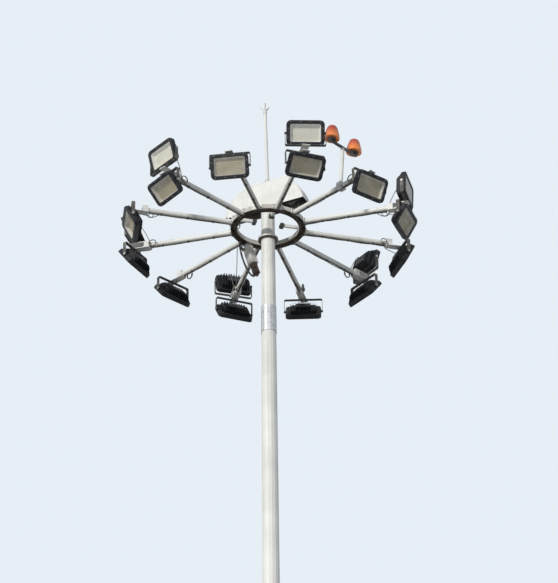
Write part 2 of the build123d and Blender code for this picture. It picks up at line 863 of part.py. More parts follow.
def main():
    os.makedirs("parts", exist_ok=True)
    nodes = {
        "base_flange": make_base_flange(),
        "base_gussets": make_base_gussets(),
        "mast_lower": make_mast_lower(),
        "door_frame": make_door_frame(),
        "access_door": make_access_door(),
        "mast_middle": mast_section(lower_top - slip_lap, middle_top, middle_wall),
        "mast_upper": mast_section(middle_top - slip_lap, head_joint_height(), upper_wall),
        "mast_sleeve": make_mast_sleeve(),
        "mast_head": mast_section(head_joint_height(), mast_top, upper_wall),
        "docking_collar": make_docking_collar(),
        "head_cap": make_head_cap(),
        "head_cheeks": make_head_cheeks(),
        "head_pulleys": make_head_pulleys(),
        "pulley_axles": make_pulley_axles(),
        "hood_ties": make_hood_ties(),
        "hood": make_hood(),
        "rod_foot": make_rod_foot(),
        "lightning_rod": make_lightning_rod(),
        "air_terminal": make_air_terminal(),
        "ring": make_ring(),
        "arms": make_arms(),
        "arm_heads": make_arm_heads(),
        "lower_yokes": make_lower_yokes(),
        "upper_yokes": make_upper_yokes(),
        "arm_cables": make_arm_cables(),
        "guide_arms": make_guide_arms(),
        "guide_pads": make_guide_pads(),
        "rope_lugs": make_rope_lugs(),
        "hoist_ropes": make_hoist_ropes(),
        "post_clamp": make_post_clamp(),
        "lamp_post": make_lamp_post(),
        "lamp_crossbar": make_lamp_crossbar(),
        "lamp_bases": make_lamp_bases(),
        "lamp_lenses": make_lamp_lenses(),
        "box_hanger": make_box_hanger(),
        "junction_box": make_junction_box(),
        "box_plug": make_box_plug(),
    }
    nodes.update(make_floods())
    for name, shapes in nodes.items():
        write_node(name, shapes)


main()
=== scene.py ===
import json
import math
import random

import bmesh
import bpy
from mathutils import Matrix, Vector


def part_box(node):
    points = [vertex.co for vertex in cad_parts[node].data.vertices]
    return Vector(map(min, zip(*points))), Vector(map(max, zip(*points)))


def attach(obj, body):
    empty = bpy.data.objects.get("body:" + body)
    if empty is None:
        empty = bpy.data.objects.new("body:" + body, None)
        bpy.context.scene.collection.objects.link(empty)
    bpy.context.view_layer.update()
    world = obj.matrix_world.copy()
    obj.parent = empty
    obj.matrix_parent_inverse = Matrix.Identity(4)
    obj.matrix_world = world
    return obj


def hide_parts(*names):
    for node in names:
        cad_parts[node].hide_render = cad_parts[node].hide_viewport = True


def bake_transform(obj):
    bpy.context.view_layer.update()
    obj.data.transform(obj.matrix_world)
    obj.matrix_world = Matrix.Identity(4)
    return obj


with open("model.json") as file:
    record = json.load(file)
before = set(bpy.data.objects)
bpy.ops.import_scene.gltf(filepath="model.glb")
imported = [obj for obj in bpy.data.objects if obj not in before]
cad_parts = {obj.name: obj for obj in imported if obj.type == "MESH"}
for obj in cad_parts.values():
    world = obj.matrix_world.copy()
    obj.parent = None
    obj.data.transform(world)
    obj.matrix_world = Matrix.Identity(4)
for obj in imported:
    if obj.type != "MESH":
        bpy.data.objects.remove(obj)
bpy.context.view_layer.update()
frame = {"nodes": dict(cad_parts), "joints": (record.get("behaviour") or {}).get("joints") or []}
scene = bpy.context.scene
nodes = frame["nodes"]
print("frame loaded:", len(nodes), "nodes")


# places that several pieces share, read from the frame where it has them
ringLow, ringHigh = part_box("ring")
ringZ = ((ringLow + ringHigh) / 2).z
ringOuter = ringHigh.x
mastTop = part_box("mast_head")[1].z
armReach = 1.46             # from the mast's axis to the middle of an arm's head
armRadius = 0.029
headHalf = 0.040            # half the height of an arm's head
ropeReach = ringOuter - 0.0375
hoodTurn = math.radians(-26.0)      # the hood, the head pulleys and the ropes face this way
armTurns = [math.radians(-135 + 30 * index) for index in range(12)]


def armAxes(turn):
    return Vector((math.cos(turn), math.sin(turn), 0)), Vector((-math.sin(turn), math.cos(turn), 0))


upright = Vector((0, 0, 1))


def newObject(name, data):
    made = bpy.data.objects.new(name, data)
    scene.collection.objects.link(made)
    return made


def shares(steps):
    return [step / steps for step in range(steps + 1)]


# a point by an arm: out from the mast's axis, across the arm, above the ring's middle
def armPoint(turn, reach, across=0.0, height=0.0):
    outward, beside = armAxes(turn)
    return outward * reach + beside * across + upright * (ringZ + height)


# camera

camera = {
    "eye": (0.0, -26.67, 1.58),
    "pitch": 31.681, "yaw": 0.251, "roll": -0.617,      # degrees, the pitch above the horizon
    "focalPixels": 2805.7,
    "longSide": 583,        # the picture's longer side, in pixels
    "sensor": 36.0,
    "clipEnd": 300,
}


def makeCamera(values):
    pitch, yaw, roll = (math.radians(values[key]) for key in ("pitch", "yaw", "roll"))
    level = math.cos(pitch)
    forward = Vector((math.sin(yaw) * level, math.cos(yaw) * level, math.sin(pitch)))
    right = forward.cross(upright).normalized()
    data = bpy.data.cameras.new("camera")
    data.sensor_width = values["sensor"]
    data.lens = values["focalPixels"] * values["sensor"] / values["longSide"]
    data.clip_end = values["clipEnd"]
    holder = newObject("camera", data)
    axes = Matrix((right, right.cross(forward), -forward)).transposed().to_4x4()
    holder.matrix_world = Matrix.Translation(values["eye"]) @ axes @ Matrix.Rotation(roll, 4, "Z")
    scene.camera = holder


makeCamera(camera)
print("camera placed")


# node sums written as Python sums

class Wire:
    def __init__(self, plan, socket):
        self.plan = plan
        self.socket = socket

    def sum(self, operation, left, right):
        vector = any(isinstance(side, Wire) and side.socket.type == "VECTOR" for side in (left, right))
        kind = "ShaderNodeVectorMath" if vector else "ShaderNodeMath"
        return self.plan.node(kind, {"operation": operation}, {0: left, 1: right})

    def __add__(self, other):
        return self.sum("ADD", self, other)

    def __radd__(self, other):
        return self.sum("ADD", other, self)

    def __sub__(self, other):
        return self.sum("SUBTRACT", self, other)

    def __rsub__(self, other):
        return self.sum("SUBTRACT", other, self)

    def __mul__(self, other):
        return self.sum("MULTIPLY", self, other)

    def __rmul__(self, other):
        return self.sum("MULTIPLY", other, self)

    def __pow__(self, other):
        return self.sum("POWER", self, other)

    def __rpow__(self, other):
        return self.sum("POWER", other, self)


class Plan:
    def __init__(self, tree):
        self.tree = tree

    # any node: its type, its settings, then the values or wires of its sockets
    def node(self, kind, settings=None, inputs=None, output=0):
        made = self.tree.nodes.new(kind)
        for key, value in (settings or {}).items():
            setattr(made, key, value)
        for key, value in (inputs or {}).items():
            self.feed(made.inputs[key], value)
        return Wire(self, made.outputs[output])

    def parts(self, vector):
        split = self.node("ShaderNodeSeparateXYZ", inputs={"Vector": vector})
        return [Wire(self, split.socket.node.outputs[index]) for index in range(3)]

    def most(self, first, second):
        return self.node("ShaderNodeMath", {"operation": "MAXIMUM"}, {0: first, 1: second})

    def feed(self, socket, value):
        if isinstance(value, Wire):
            self.tree.links.new(value.socket, socket)
        elif socket.type == "RGBA" and len(value) == 3:
            socket.default_value = (*value, 1)
        elif socket.type == "VECTOR" and isinstance(value, (int, float)):
            socket.default_value = (value, value, value)
        else:
            socket.default_value = value


# light and background

light = {
    "sunFrom": (-0.42, -0.73, 0.28), "sunStrength": 2.45, "sunAngle": 5.0, "sunColour": (1.0, 0.975, 0.93),
    "ambient": ((0.84, 0.89, 0.96), 0.38), "background": ((0.80, 0.86, 0.92), 1.0),    # colour, strength
    "floorSize": 70.0,
}


def makeSun(values):
    data = bpy.data.lights.new("sun", "SUN")
    data.energy = values["sunStrength"]
    data.angle = math.radians(values["sunAngle"])
    data.color = values["sunColour"]
    sun = newObject("sun", data)
    sun.rotation_mode = "QUATERNION"
    sun.rotation_quaternion = Vector(values["sunFrom"]).to_track_quat("Z", "Y")


# the camera, reflections and glass see a plain background, and the rest gets a soft light
def makeWorld(values):
    world = bpy.data.worlds.new("studio")
    scene.world = world
    world.use_nodes = True
    world.node_tree.nodes.clear()
    plan = Plan(world.node_tree)
    path = plan.node("ShaderNodeLightPath").socket.node
    camera, glossy, clear = (
        Wire(plan, path.outputs[ray]) for ray in ("Is Camera Ray", "Is Glossy Ray", "Is Transmission Ray"))
    ambient, background = (
        plan.node("ShaderNodeBackground", inputs={"Color": colour, "Strength": strength})
        for colour, strength in (values["ambient"], values["background"]))
    mixed = plan.node("ShaderNodeMixShader", inputs={
        0: plan.most(plan.most(camera, glossy), clear), 1: ambient, 2: background})
    output = plan.tree.nodes.new("ShaderNodeOutputWorld")
    plan.feed(output.inputs["Surface"], mixed)


makeSun(light)
makeWorld(light)
print("light set")


# materials

class Shade(Plan):
    def __init__(self, name):
        self.material = bpy.data.materials.new(name)
        self.material.use_nodes = True
        super().__init__(self.material.node_tree)
        self.surface = self.tree.nodes["Principled BSDF"]

    def place(self):
        return self.node("ShaderNodeTexCoord", output="Object")

    def noise(self, scale, detail=4.0, rough=0.55, vector=None):
        return self.node("ShaderNodeTexNoise", inputs={
            "Vector": vector or self.place(), "Scale": scale, "Detail": detail, "Roughness": rough})

    # noise drawn out along Z into runs
    def runs(self, scale, detail=5, rough=0.6):
        stretched = self.node("ShaderNodeMapping", inputs={"Vector": self.place(), "Scale": scale})
        return self.noise(1.0, detail, rough, stretched)

    # scattered patches, such as rust
    def patches(self, scale, low, high):
        return self.fade(self.noise(scale, 6, 0.7), low, high)

    # a random value for each cell
    def cells(self, scale):
        return self.parts(self.node("ShaderNodeTexVoronoi", inputs={
            "Vector": self.place(), "Scale": scale}, output=1))[0]

    def fade(self, value, low, high):
        return self.node("ShaderNodeMapRange", {"interpolation_type": "SMOOTHSTEP"}, {
            "Value": value, "From Min": low, "From Max": high})

    def height(self):
        return self.parts(self.place())[2]

    def mix(self, factor, first, second, blend="MIX"):
        return self.node("ShaderNodeMix", {"data_type": "RGBA", "blend_type": blend}, {
            0: factor, 6: first, 7: second}, output=2)

    # how far a surface faces up
    def upward(self):
        return self.parts(self.node("ShaderNodeNewGeometry", output="Normal"))[2]

    # 0 on the lower row of floodlights, 1 on the upper row: the mask for painted light on the upper row
    def litUpperRow(self):
        return self.fade(self.height(), ringZ - 0.05, ringZ + 0.05)

    # one colour to another over a span of a cloud
    def blotches(self, cloud, low, high, first, second):
        return self.mix(self.fade(cloud, low, high), first, second)

    def finish(self, colour, roughness, metallic, bump, depth, **fixed):
        normal = self.node("ShaderNodeBump", inputs={"Strength": 0.6, "Distance": depth, "Height": bump})
        varied = {"Base Color": colour, "Roughness": roughness, "Metallic": metallic, "Normal": normal}
        for key, value in varied.items():
            self.feed(self.surface.inputs[key], value)
        for key, value in fixed.items():
            self.surface.inputs[key.replace("_", " ")].default_value = value
        return self.material


# paint on the mast, arms and posts: chalky white with grime runs and a few rust spots, and painted shade on
# faces that look down
paint = {
    "white": (0.80, 0.80, 0.77),
    "chalk": (0.70, 0.70, 0.67),
    "grimeAndShade": (0.30, 0.28, 0.25),
    "rust": (0.26, 0.12, 0.05),
}


def whitePaint(name, grimeAndShadeAmount=0.35, rustAmount=0.2, streaks=(26.0, 26.0, 0.9)):
    shade = Shade(name)
    cloud = shade.noise(2.3, 5)
    specks = shade.noise(85.0, 2, 0.5)
    colour = shade.blotches(cloud, 0.35, 0.7, paint["white"], paint["chalk"])
    streakMask = shade.fade(shade.runs(streaks), 0.52, 0.78) * grimeAndShadeAmount
    colour = shade.mix(streakMask, colour, paint["grimeAndShade"])
    spot = shade.patches(9.0, 0.66, 0.76) * rustAmount
    colour = shade.mix(spot, colour, paint["rust"])
    # painted shade: faces that look down are darkened with the grime colour
    below = shade.fade(shade.upward(), -0.35, -0.9) * (0.35 * grimeAndShadeAmount)
    colour = shade.mix(below, colour, paint["grimeAndShade"])
    rough = 0.42 + cloud * 0.2 + spot * 0.3
    height = specks * 0.15 + cloud * 0.6 - spot * 0.4
    return shade.finish(colour, rough, 0.0, height, 0.0006)


galvanised = {
    "light": (0.50, 0.51, 0.51),
    "dark": (0.33, 0.34, 0.345),
    "stain": (0.20, 0.16, 0.12),
    "spangle": 42.0,        # cells in a metre
}


def galvanisedSteel(name, stainAmount=0.4, tone=1.0):
    shade = Shade(name)
    spangle = shade.cells(galvanised["spangle"])
    cloud = shade.noise(6.0, 5)
    lightness = shade.fade(spangle, 0.1, 0.9) * 0.6 + cloud * 0.3
    colour = shade.mix(lightness, galvanised["dark"], galvanised["light"])
    stain = shade.fade(shade.runs((14, 14, 3), 6, 0.65), 0.52, 0.74) * stainAmount
    colour = shade.mix(stain, colour, galvanised["stain"])
    colour = shade.mix(1.0, colour, (tone, tone, tone), "MULTIPLY")
    rough = 0.42 + spangle * 0.16 + stain * 0.25
    return shade.finish(colour, rough, 0.55 - stain * 0.4, cloud * 0.6 + spangle * 0.15, 0.0005)


# the ring: white paint, its open underside and lower edge near-black, painted shade over dirt and rust
def ringPaint(name):
    shade = Shade(name)
    x, y, z = shade.parts(shade.place())
    across = (x * x + y * y) ** 0.5
    inside = shade.fade(across, ringOuter - 0.004, ringOuter - 0.0055)
    hollow = inside * shade.fade(across, ringOuter - 0.0712, ringOuter - 0.0698)
    # painted shade with rust: the hollow underside and the lower edge go near-black
    shadedLowEdge = shade.fade(z, ringZ - 0.016, ringZ - 0.029)
    cloud = shade.noise(7.0, 6, 0.65)
    shadeAndRustMask = shade.most(hollow, shadedLowEdge)
    shadeAndRustMask = shade.most(shadeAndRustMask, shade.patches(11.0, 0.54, 0.68) * 0.7)
    white = shade.blotches(cloud, 0.35, 0.65, (0.62, 0.61, 0.57), (0.40, 0.385, 0.35))
    deep = shade.noise(30.0, 5, 0.7)
    rust = shade.blotches(deep, 0.3, 0.7, (0.030, 0.022, 0.016), (0.095, 0.058, 0.034))
    colour = shade.mix(shadeAndRustMask, white, rust)
    rough = 0.5 + shadeAndRustMask * 0.35
    return shade.finish(colour, rough, 0.0, cloud * 0.5 + shadeAndRustMask * shade.noise(60.0, 4, 0.7), 0.001)


def darkSteel(name):
    shade = Shade(name)
    cloud = shade.noise(11.0, 6, 0.6)
    colour = shade.blotches(cloud, 0.48, 0.68, (0.060, 0.060, 0.062), (0.24, 0.23, 0.21))
    rust = shade.patches(17.0, 0.56, 0.70) * 0.35
    colour = shade.mix(rust, colour, (0.17, 0.085, 0.04))
    rough = 0.45 + cloud * 0.2 + rust * 0.3
    return shade.finish(colour, rough, 0.25 - rust * 0.2, cloud + rust * 0.5, 0.0005)


# yokes: black paint, chalked grey and given a painted highlight on faces that look up
def yokeSteel(name):
    shade = Shade(name)
    cloud = shade.noise(13.0, 5, 0.6)
    # painted highlight with chalking: faces that look up turn lighter grey
    above = shade.fade(shade.upward(), 0.0, 0.8)
    colour = shade.blotches(cloud, 0.40, 0.68, (0.050, 0.048, 0.046), (0.16, 0.15, 0.135))
    colour = shade.mix(above * 0.45, colour, (0.34, 0.33, 0.30))
    rust = shade.patches(21.0, 0.58, 0.70) * 0.5
    colour = shade.mix(rust, colour, (0.14, 0.07, 0.035))
    return shade.finish(colour, 0.5 + cloud * 0.2, 0.1, cloud + rust * 0.4, 0.0005)


def blackCasting(name):
    shade = Shade(name)
    orange = shade.noise(520.0, 2, 0.5)
    dust = shade.noise(9.0, 6, 0.6)
    above = shade.fade(shade.upward(), 0.1, 0.9)
    colour = shade.mix(shade.fade(dust, 0.42, 0.7) * 0.4, (0.008, 0.009, 0.012), (0.034, 0.033, 0.032))
    colour = shade.mix(above * shade.fade(dust, 0.3, 0.6) * 0.35, colour, (0.16, 0.15, 0.135))
    bump = orange * 0.4 + dust
    return shade.finish(colour, 0.46 + dust * 0.22, 0.0, bump, 0.0004, Specular_IOR_Level=0.3)


# finishes that go from one colour to another over one cloud of dust or wear; boards, chips and reflectors
# take a second, brighter pair on the upper row of floodlights as painted light, the lower row's beige being
# painted shade
dusted = {
    "cable": {
        "name": "cableSheath", "cloud": (40.0, 4, 0.6), "span": (0.40, 0.75),
        "colours": ((0.012, 0.012, 0.014), (0.09, 0.085, 0.08)), "rough": (0.50, 0.25), "depth": 0.0003},
    "lead": {
        "name": "leadSheath", "cloud": (34.0, 5, 0.6), "span": (0.35, 0.70),
        "colours": ((0.055, 0.050, 0.046), (0.19, 0.17, 0.14)), "rough": (0.50, 0.25), "depth": 0.0003},
    "nylon": {
        "name": "nylon", "cloud": (30.0, 6, 0.7), "span": (0.50, 0.75),
        "colours": ((0.03, 0.03, 0.032), (0.14, 0.135, 0.13)), "rough": (0.45, 0.30), "depth": 0.0005},
    "lampBase": {
        "name": "lampCasting", "cloud": (24.0, 5, 0.6), "span": (0.40, 0.70), "metallic": 0.3,
        "colours": ((0.055, 0.053, 0.052), (0.17, 0.15, 0.13)), "rough": (0.45, 0.25), "depth": 0.0004},
    "plug": {
        "name": "plugCasing", "cloud": (26.0, 5, 0.6), "span": (0.40, 0.70),
        "colours": ((0.055, 0.034, 0.024), (0.16, 0.11, 0.075)), "rough": (0.45, 0.25), "depth": 0.0004},
    # the hood's lining, dark as painted shade
    "hoodInside": {
        "name": "hoodInside", "cloud": (5.0, 5, 0.6), "span": (0.3, 0.7),
        "colours": ((0.30, 0.28, 0.25), (0.14, 0.125, 0.11)), "rough": (0.6, 0.2), "depth": 0.0006},
    "rope": {
        "name": "ropeSteel", "cloud": (60.0, 4, 0.6), "metallic": 0.6,
        "colours": ((0.10, 0.10, 0.095), (0.30, 0.29, 0.27)), "rough": (0.40, 0.30), "depth": 0.0003},
    # the lower row's beige is painted shade and the upper row's white is painted light
    "board": {
        "name": "ledBoard", "cloud": (16.0, 5, 0.6), "span": (0.35, 0.70),
        "colours": ((0.42, 0.37, 0.28), (0.31, 0.275, 0.21)), "rough": (0.35, 0.30), "depth": 0.0003,
        "litUpperColours": ((0.90, 0.90, 0.87), (0.78, 0.77, 0.73))},
    "chip": {
        "name": "ledChip", "cloud": (60.0, 3, 0.5),
        "colours": ((0.58, 0.48, 0.22), (0.42, 0.37, 0.24)), "rough": (0.28, 0.20), "depth": 0.0002,
        "litUpperColours": ((0.80, 0.76, 0.52), (0.66, 0.63, 0.48))},
    "reflector": {
        "name": "reflectorSheet", "cloud": (24.0, 4, 0.6),
        "colours": ((0.64, 0.61, 0.54), (0.48, 0.45, 0.39)), "rough": (0.35, 0.25), "depth": 0.0003,
        "litUpperColours": ((0.88, 0.88, 0.85), (0.76, 0.75, 0.71))},
    "floor": {
        "name": "studioFloor", "cloud": (0.6, 3),
        "colours": ((0.74, 0.74, 0.72), (0.7178, 0.7178, 0.6984)), "rough": (0.9, 0.0), "depth": 0.001},
}


def dustedFinish(values):
    shade = Shade(values["name"])
    cloud = shade.noise(*values["cloud"])
    cover = shade.fade(cloud, *values["span"]) if "span" in values else cloud
    colour = shade.mix(cover, *values["colours"])
    # painted light: the upper row of floodlights gets the brighter pair
    if "litUpperColours" in values:
        colour = shade.mix(shade.litUpperRow(), colour, shade.mix(cover, *values["litUpperColours"]))
    rough, swing = values["rough"]
    return shade.finish(colour, rough + cloud * swing, values.get("metallic", 0.0), cloud, values["depth"])


# flood glass: clear, with a film of dust that catches the light
def floodGlass(name):
    shade = Shade(name)
    film = shade.noise(7.0, 5, 0.6)
    dusty = shade.fade(film, 0.40, 0.75)
    colour = shade.mix(dusty, (0.60, 0.62, 0.64), (0.66, 0.65, 0.60))
    shade.feed(shade.surface.inputs["Alpha"], 0.07 + dusty * 0.11)
    return shade.finish(colour, 0.04 + dusty * 0.10, 0.0, film, 0.0001, IOR=1.5)


def plainSteel(name):
    shade = Shade(name)
    grain = shade.noise(90.0, 4, 0.6)
    cloud = shade.noise(20.0, 5, 0.6)
    colour = shade.blotches(cloud, 0.4, 0.7, (0.46, 0.46, 0.45), (0.26, 0.23, 0.20))
    return shade.finish(colour, 0.35 + grain * 0.2, 0.75, grain, 0.0003)


# obstruction lamp: bright orange round the wide foot, dark red towards the crown
def redLens(name):
    shade = Shade(name)
    low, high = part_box("lamp_lenses")
    level = shade.fade(shade.height(), low.z + 0.02, high.z - 0.03)
    film = shade.noise(30.0, 5, 0.6)
    colour = shade.mix(level, (0.92, 0.26, 0.045), (0.40, 0.026, 0.014))
    colour = shade.mix(shade.fade(film, 0.45, 0.75) * 0.3, colour, (0.34, 0.10, 0.06))
    return shade.finish(colour, 0.16 + film * 0.2, 0.0, film, 0.0002, Coat_Weight=0.5)


def boxEnamel(name):
    shade = Shade(name)
    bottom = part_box("junction_box")[0].z
    cloud = shade.noise(12.0, 5, 0.6)
    colour = shade.blotches(cloud, 0.35, 0.7, (0.78, 0.775, 0.75), (0.60, 0.575, 0.52))
    # painted shade: brown towards the bottom, joined with the stain runs below
    shadedBottom = shade.fade(shade.height() + cloud * 0.09, bottom + 0.10, bottom + 0.02)
    runs = shade.fade(shade.runs((30, 30, 2)), 0.50, 0.70)
    stain = shade.most(shadedBottom * 0.75, runs * 0.5)
    colour = shade.mix(stain, colour, (0.16, 0.10, 0.055))
    return shade.finish(colour, 0.4 + stain * 0.3, 0.0, cloud + stain * 0.3, 0.0004)


# galvanised clamp on the mast, gone beige, with painted shade along its lower rim
def collarZinc(name):
    shade = Shade(name)
    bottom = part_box("docking_collar")[0].z
    cloud = shade.noise(14.0, 5, 0.6)
    colour = shade.blotches(cloud, 0.35, 0.7, (0.60, 0.58, 0.52), (0.40, 0.37, 0.31))
    # painted shade: a dark band along the lower rim
    rim = shade.fade(shade.height() + cloud * 0.006, bottom + 0.012, bottom + 0.005)
    colour = shade.mix(rim, colour, (0.050, 0.042, 0.034))
    return shade.finish(colour, 0.48 + cloud * 0.2, 0.3 - rim * 0.3, cloud, 0.0005)


# the hood's outside is white with faint runs
def hoodPaint(name):
    shade = Shade(name)
    cloud = shade.noise(5.0, 5, 0.6)
    runs = shade.fade(shade.runs((16, 16, 1.6)), 0.50, 0.74)
    colour = shade.blotches(cloud, 0.35, 0.7, (0.82, 0.82, 0.79), (0.72, 0.72, 0.69))
    colour = shade.mix(runs * 0.28, colour, (0.36, 0.33, 0.29))
    return shade.finish(colour, 0.38 + cloud * 0.2, 0.0, cloud + runs * 0.2, 0.0005)


looks = {look: dustedFinish(values) for look, values in dusted.items()}
looks.update({
    "paint": whitePaint("mastPaint"),
    "headPaint": whitePaint("headPaint", 0.85, 0.35, (20.0, 20.0, 1.6)),
    "rodPaint": whitePaint("rodPaint", 0.1, 0.05, (40.0, 40.0, 2.0)),
    "armPaint": whitePaint("armPaint", 0.55, 0.3, (9.0, 9.0, 9.0)),
    "clampPaint": whitePaint("clampPaint", 0.9, 0.6, (14.0, 14.0, 14.0)),
    "galvanised": galvanisedSteel("galvanised"),
    "sleeve": galvanisedSteel("sleeveZinc", 0.15, 1.3),
    "ring": ringPaint("ringPaint"),
    "dark": darkSteel("darkSteel"),
    "collar": collarZinc("collarZinc"),
    "yoke": yokeSteel("yokeSteel"),
    "casting": blackCasting("blackCasting"),
    "glass": floodGlass("floodGlass"),
    "steel": plainSteel("plainSteel"),
    "lens": redLens("redLens"),
    "box": boxEnamel("boxEnamel"),
    "hood": hoodPaint("hoodPaint"),
})
print("materials made:", len(looks))


# CAD nodes that stay, with their finish
kept = {
    "paint": ["base_gussets", "mast_lower", "door_frame", "access_door", "mast_middle", "mast_upper"],
    "rodPaint": ["lightning_rod", "air_terminal"],
    "headPaint": ["mast_head"],
    "armPaint": ["arms", "lamp_post", "guide_arms"],
    "clampPaint": ["arm_heads"],
    "galvanised": ["base_flange", "head_cap", "rod_foot", "post_clamp", "box_hanger"],
    "sleeve": ["mast_sleeve"],
    "collar": ["docking_collar"],
    "dark": ["head_cheeks", "hood_ties", "lamp_crossbar"],
    "ring": ["ring"],
    "yoke": ["lower_yokes", "upper_yokes"],
    "nylon": ["guide_pads"],
    "steel": ["head_pulleys", "pulley_axles", "rope_lugs"],
    "lampBase": ["lamp_bases"],
    "lens": ["lamp_lenses"],
    "box": ["junction_box"],
    "plug": ["box_plug"],
    "hood": ["hood"],
}
for look, names in kept.items():
    for name in names:
        slots = nodes[name].data.materials
        slots.clear()
        slots.append(looks[look])
print("CAD nodes finished")


# mesh helpers

def meshPiece(name, mesh, body=None, replaced=()):
    piece = newObject(name, mesh)
    if body:
        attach(piece, body)
    if replaced:
        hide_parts(*replaced)
    return piece


def newPiece(name, bm, materials, body=None, replaced=(), angle=32.0):
    bmesh.ops.recalc_face_normals(bm, faces=bm.faces)
    for face in bm.faces:
        face.smooth = True
    for edge in bm.edges:
        edge.smooth = edge.calc_face_angle(0.0) < math.radians(angle)
    mesh = bpy.data.meshes.new(name)
    bm.to_mesh(mesh)
    bm.free()
    for look in materials:
        mesh.materials.append(looks[look])
    return meshPiece(name, mesh, body, replaced)


# rings of points with the same count, joined by faces, with either end closed
def skin(bm, loops, slot=0, closeStart=True, closeEnd=True, wrap=True):
    rows = [[bm.verts.new(point) for point in loop] for loop in loops]
    count = len(rows[0])
    made = []
    for first, second in zip(rows, rows[1:]):
        for index in range(count if wrap else count - 1):
            other = (index + 1) % count
            made.append(bm.faces.new((first[index], first[other], second[other], second[index])))
    if closeStart:
        made.append(bm.faces.new(rows[0]))
    if closeEnd:
        made.append(bm.faces.new(rows[-1]))
    for face in made:
        face.material_index = slot
    return rows


def circlePoints(centre, axisU, axisV, radius, sides):
    turns = [math.tau * index / sides for index in range(sides)]
    return [centre + axisU * radius * math.cos(turn) + axisV * radius * math.sin(turn) for turn in turns]


def acrossAxes(direction):
    helper = upright if abs(direction.z) < 0.9 else Vector((1, 0, 0))
    first = direction.cross(helper).normalized()
    return first, direction.cross(first).normalized()


# a turned shape: (distance along the axis, radius) pairs
def turned(bm, base, direction, profile, sides=24, slot=0):
    base, direction = Vector(base), Vector(direction).normalized()
    axes = acrossAxes(direction)
    loops = [circlePoints(base + direction * along, *axes, radius, sides) for along, radius in profile]
    skin(bm, loops, slot)


def tubeAlong(bm, points, radius, sides=8):
    loops = []
    first, second = acrossAxes((points[1] - points[0]).normalized())
    for index, point in enumerate(points):
        before = points[max(index - 1, 0)]
        after = points[min(index + 1, len(points) - 1)]
        direction = (after - before).normalized()
        second = direction.cross(first).normalized()
        first = second.cross(direction).normalized()
        loops.append(circlePoints(point, first, second, radius, sides))
    skin(bm, loops)


# a rectangle with round corners: its size is width, height and corner radius
def frameLoop(along, size, grown=0.0, steps=5):
    halfWidth, halfHeight = size[0] / 2 + grown, size[1] / 2 + grown
    corner = size[2] + grown
    points = []
    for turn, (signY, signZ) in enumerate(((1, 1), (-1, 1), (-1, -1), (1, -1))):
        for share in shares(steps):
            angle = math.pi / 2 * (turn + share)
            y = signY * (halfWidth - corner) + corner * math.cos(angle)
            z = signZ * (halfHeight - corner) + corner * math.sin(angle)
            points.append(Vector((along, y, z)))
    return points


# geometry nodes

class Grow(Plan):
    def __init__(self, name):
        super().__init__(bpy.data.node_groups.new(name, "GeometryNodeTree"))
        self.tree.interface.new_socket("Geometry", in_out="OUTPUT", socket_type="NodeSocketGeometry")
        self.start = self.tree.nodes.new("NodeGroupInput")
        self.end = self.tree.nodes.new("NodeGroupOutput")
        self.keys = {}

    # named inputs, each with its kind of socket
    def sizes(self, **kinds):
        for name, kind in kinds.items():
            item = self.tree.interface.new_socket(name, in_out="INPUT", socket_type="NodeSocket" + kind)
            self.keys[name] = item.identifier
        return [Wire(self, self.start.outputs[name]) for name in kinds]

    def aim(self):
        return self.node("GeometryNodeInputNamedAttribute", {"data_type": "FLOAT_VECTOR"}, {"Name": "aim"})

    def join(self, *shapes):
        joined = self.tree.nodes.new("GeometryNodeJoinGeometry")
        for shape in shapes:
            self.tree.links.new(shape.socket, joined.inputs[0])
        return Wire(self, joined.outputs[0])

    # the shape at every point, with its finish
    def close(self, points, shape, turn=(0, 0, 0)):
        placed = self.node("GeometryNodeInstanceOnPoints", inputs={
            "Points": points, "Instance": shape, "Rotation": turn})
        real = self.node("GeometryNodeRealizeInstances", inputs={0: placed})
        look, = self.sizes(look="Material")
        last = self.node("GeometryNodeSetMaterial", inputs={"Geometry": real, "Material": look})
        self.tree.links.new(last.socket, self.end.inputs[0])

    # the tree on a holder mesh, turned into a plain mesh
    def grown(self, name, holder, **values):
        piece = newObject(name + "Holder", holder)
        modifier = piece.modifiers.new("grow", "NODES")
        modifier.node_group = self.tree
        for key, value in values.items():
            modifier[self.keys[key]] = value
        graph = bpy.context.evaluated_depsgraph_get()
        mesh = bpy.data.meshes.new_from_object(
            piece.evaluated_get(graph), preserve_all_data_layers=True, depsgraph=graph)
        piece.modifiers.clear()
        bpy.data.objects.remove(piece)
        mesh.name = name
        return mesh


def pointMesh(name, spots):
    mesh = bpy.data.meshes.new(name)
    mesh.from_pydata([place for place, _ in spots], [], [])
    aims = mesh.attributes.new("aim", "FLOAT_VECTOR", "POINT")
    for index, (_, aim) in enumerate(spots):
        aims.data[index].vector = aim
    return mesh


# fasteners: a washer, a head and a stud end at each point, along the point's aim
bolts = {
    "washerWide": 1.35, "washerThick": 0.22, "studWide": 0.5,    # shares of the head
    "washerSides": 18, "studSides": 10,
    # head radius, head height, stud length, the head's sides, finish
    "floodScrews": (0.0042, 0.0024, 0.001, 6, "steel"),
    "coverScrews": (0.0040, 0.0020, 0.001, 6, "steel"),
    "hoodRivets": (0.0045, 0.0022, 0.001, 12, "hood"),
    "carriageBolts": (0.0085, 0.0058, 0.0073, 6, "steel"),
    "anchorNuts": (0.026, 0.024, 0.062, 6, "galvanised"),
    "lugBolt": (0.011, 0.009, 0.022, 6, "steel"),
}


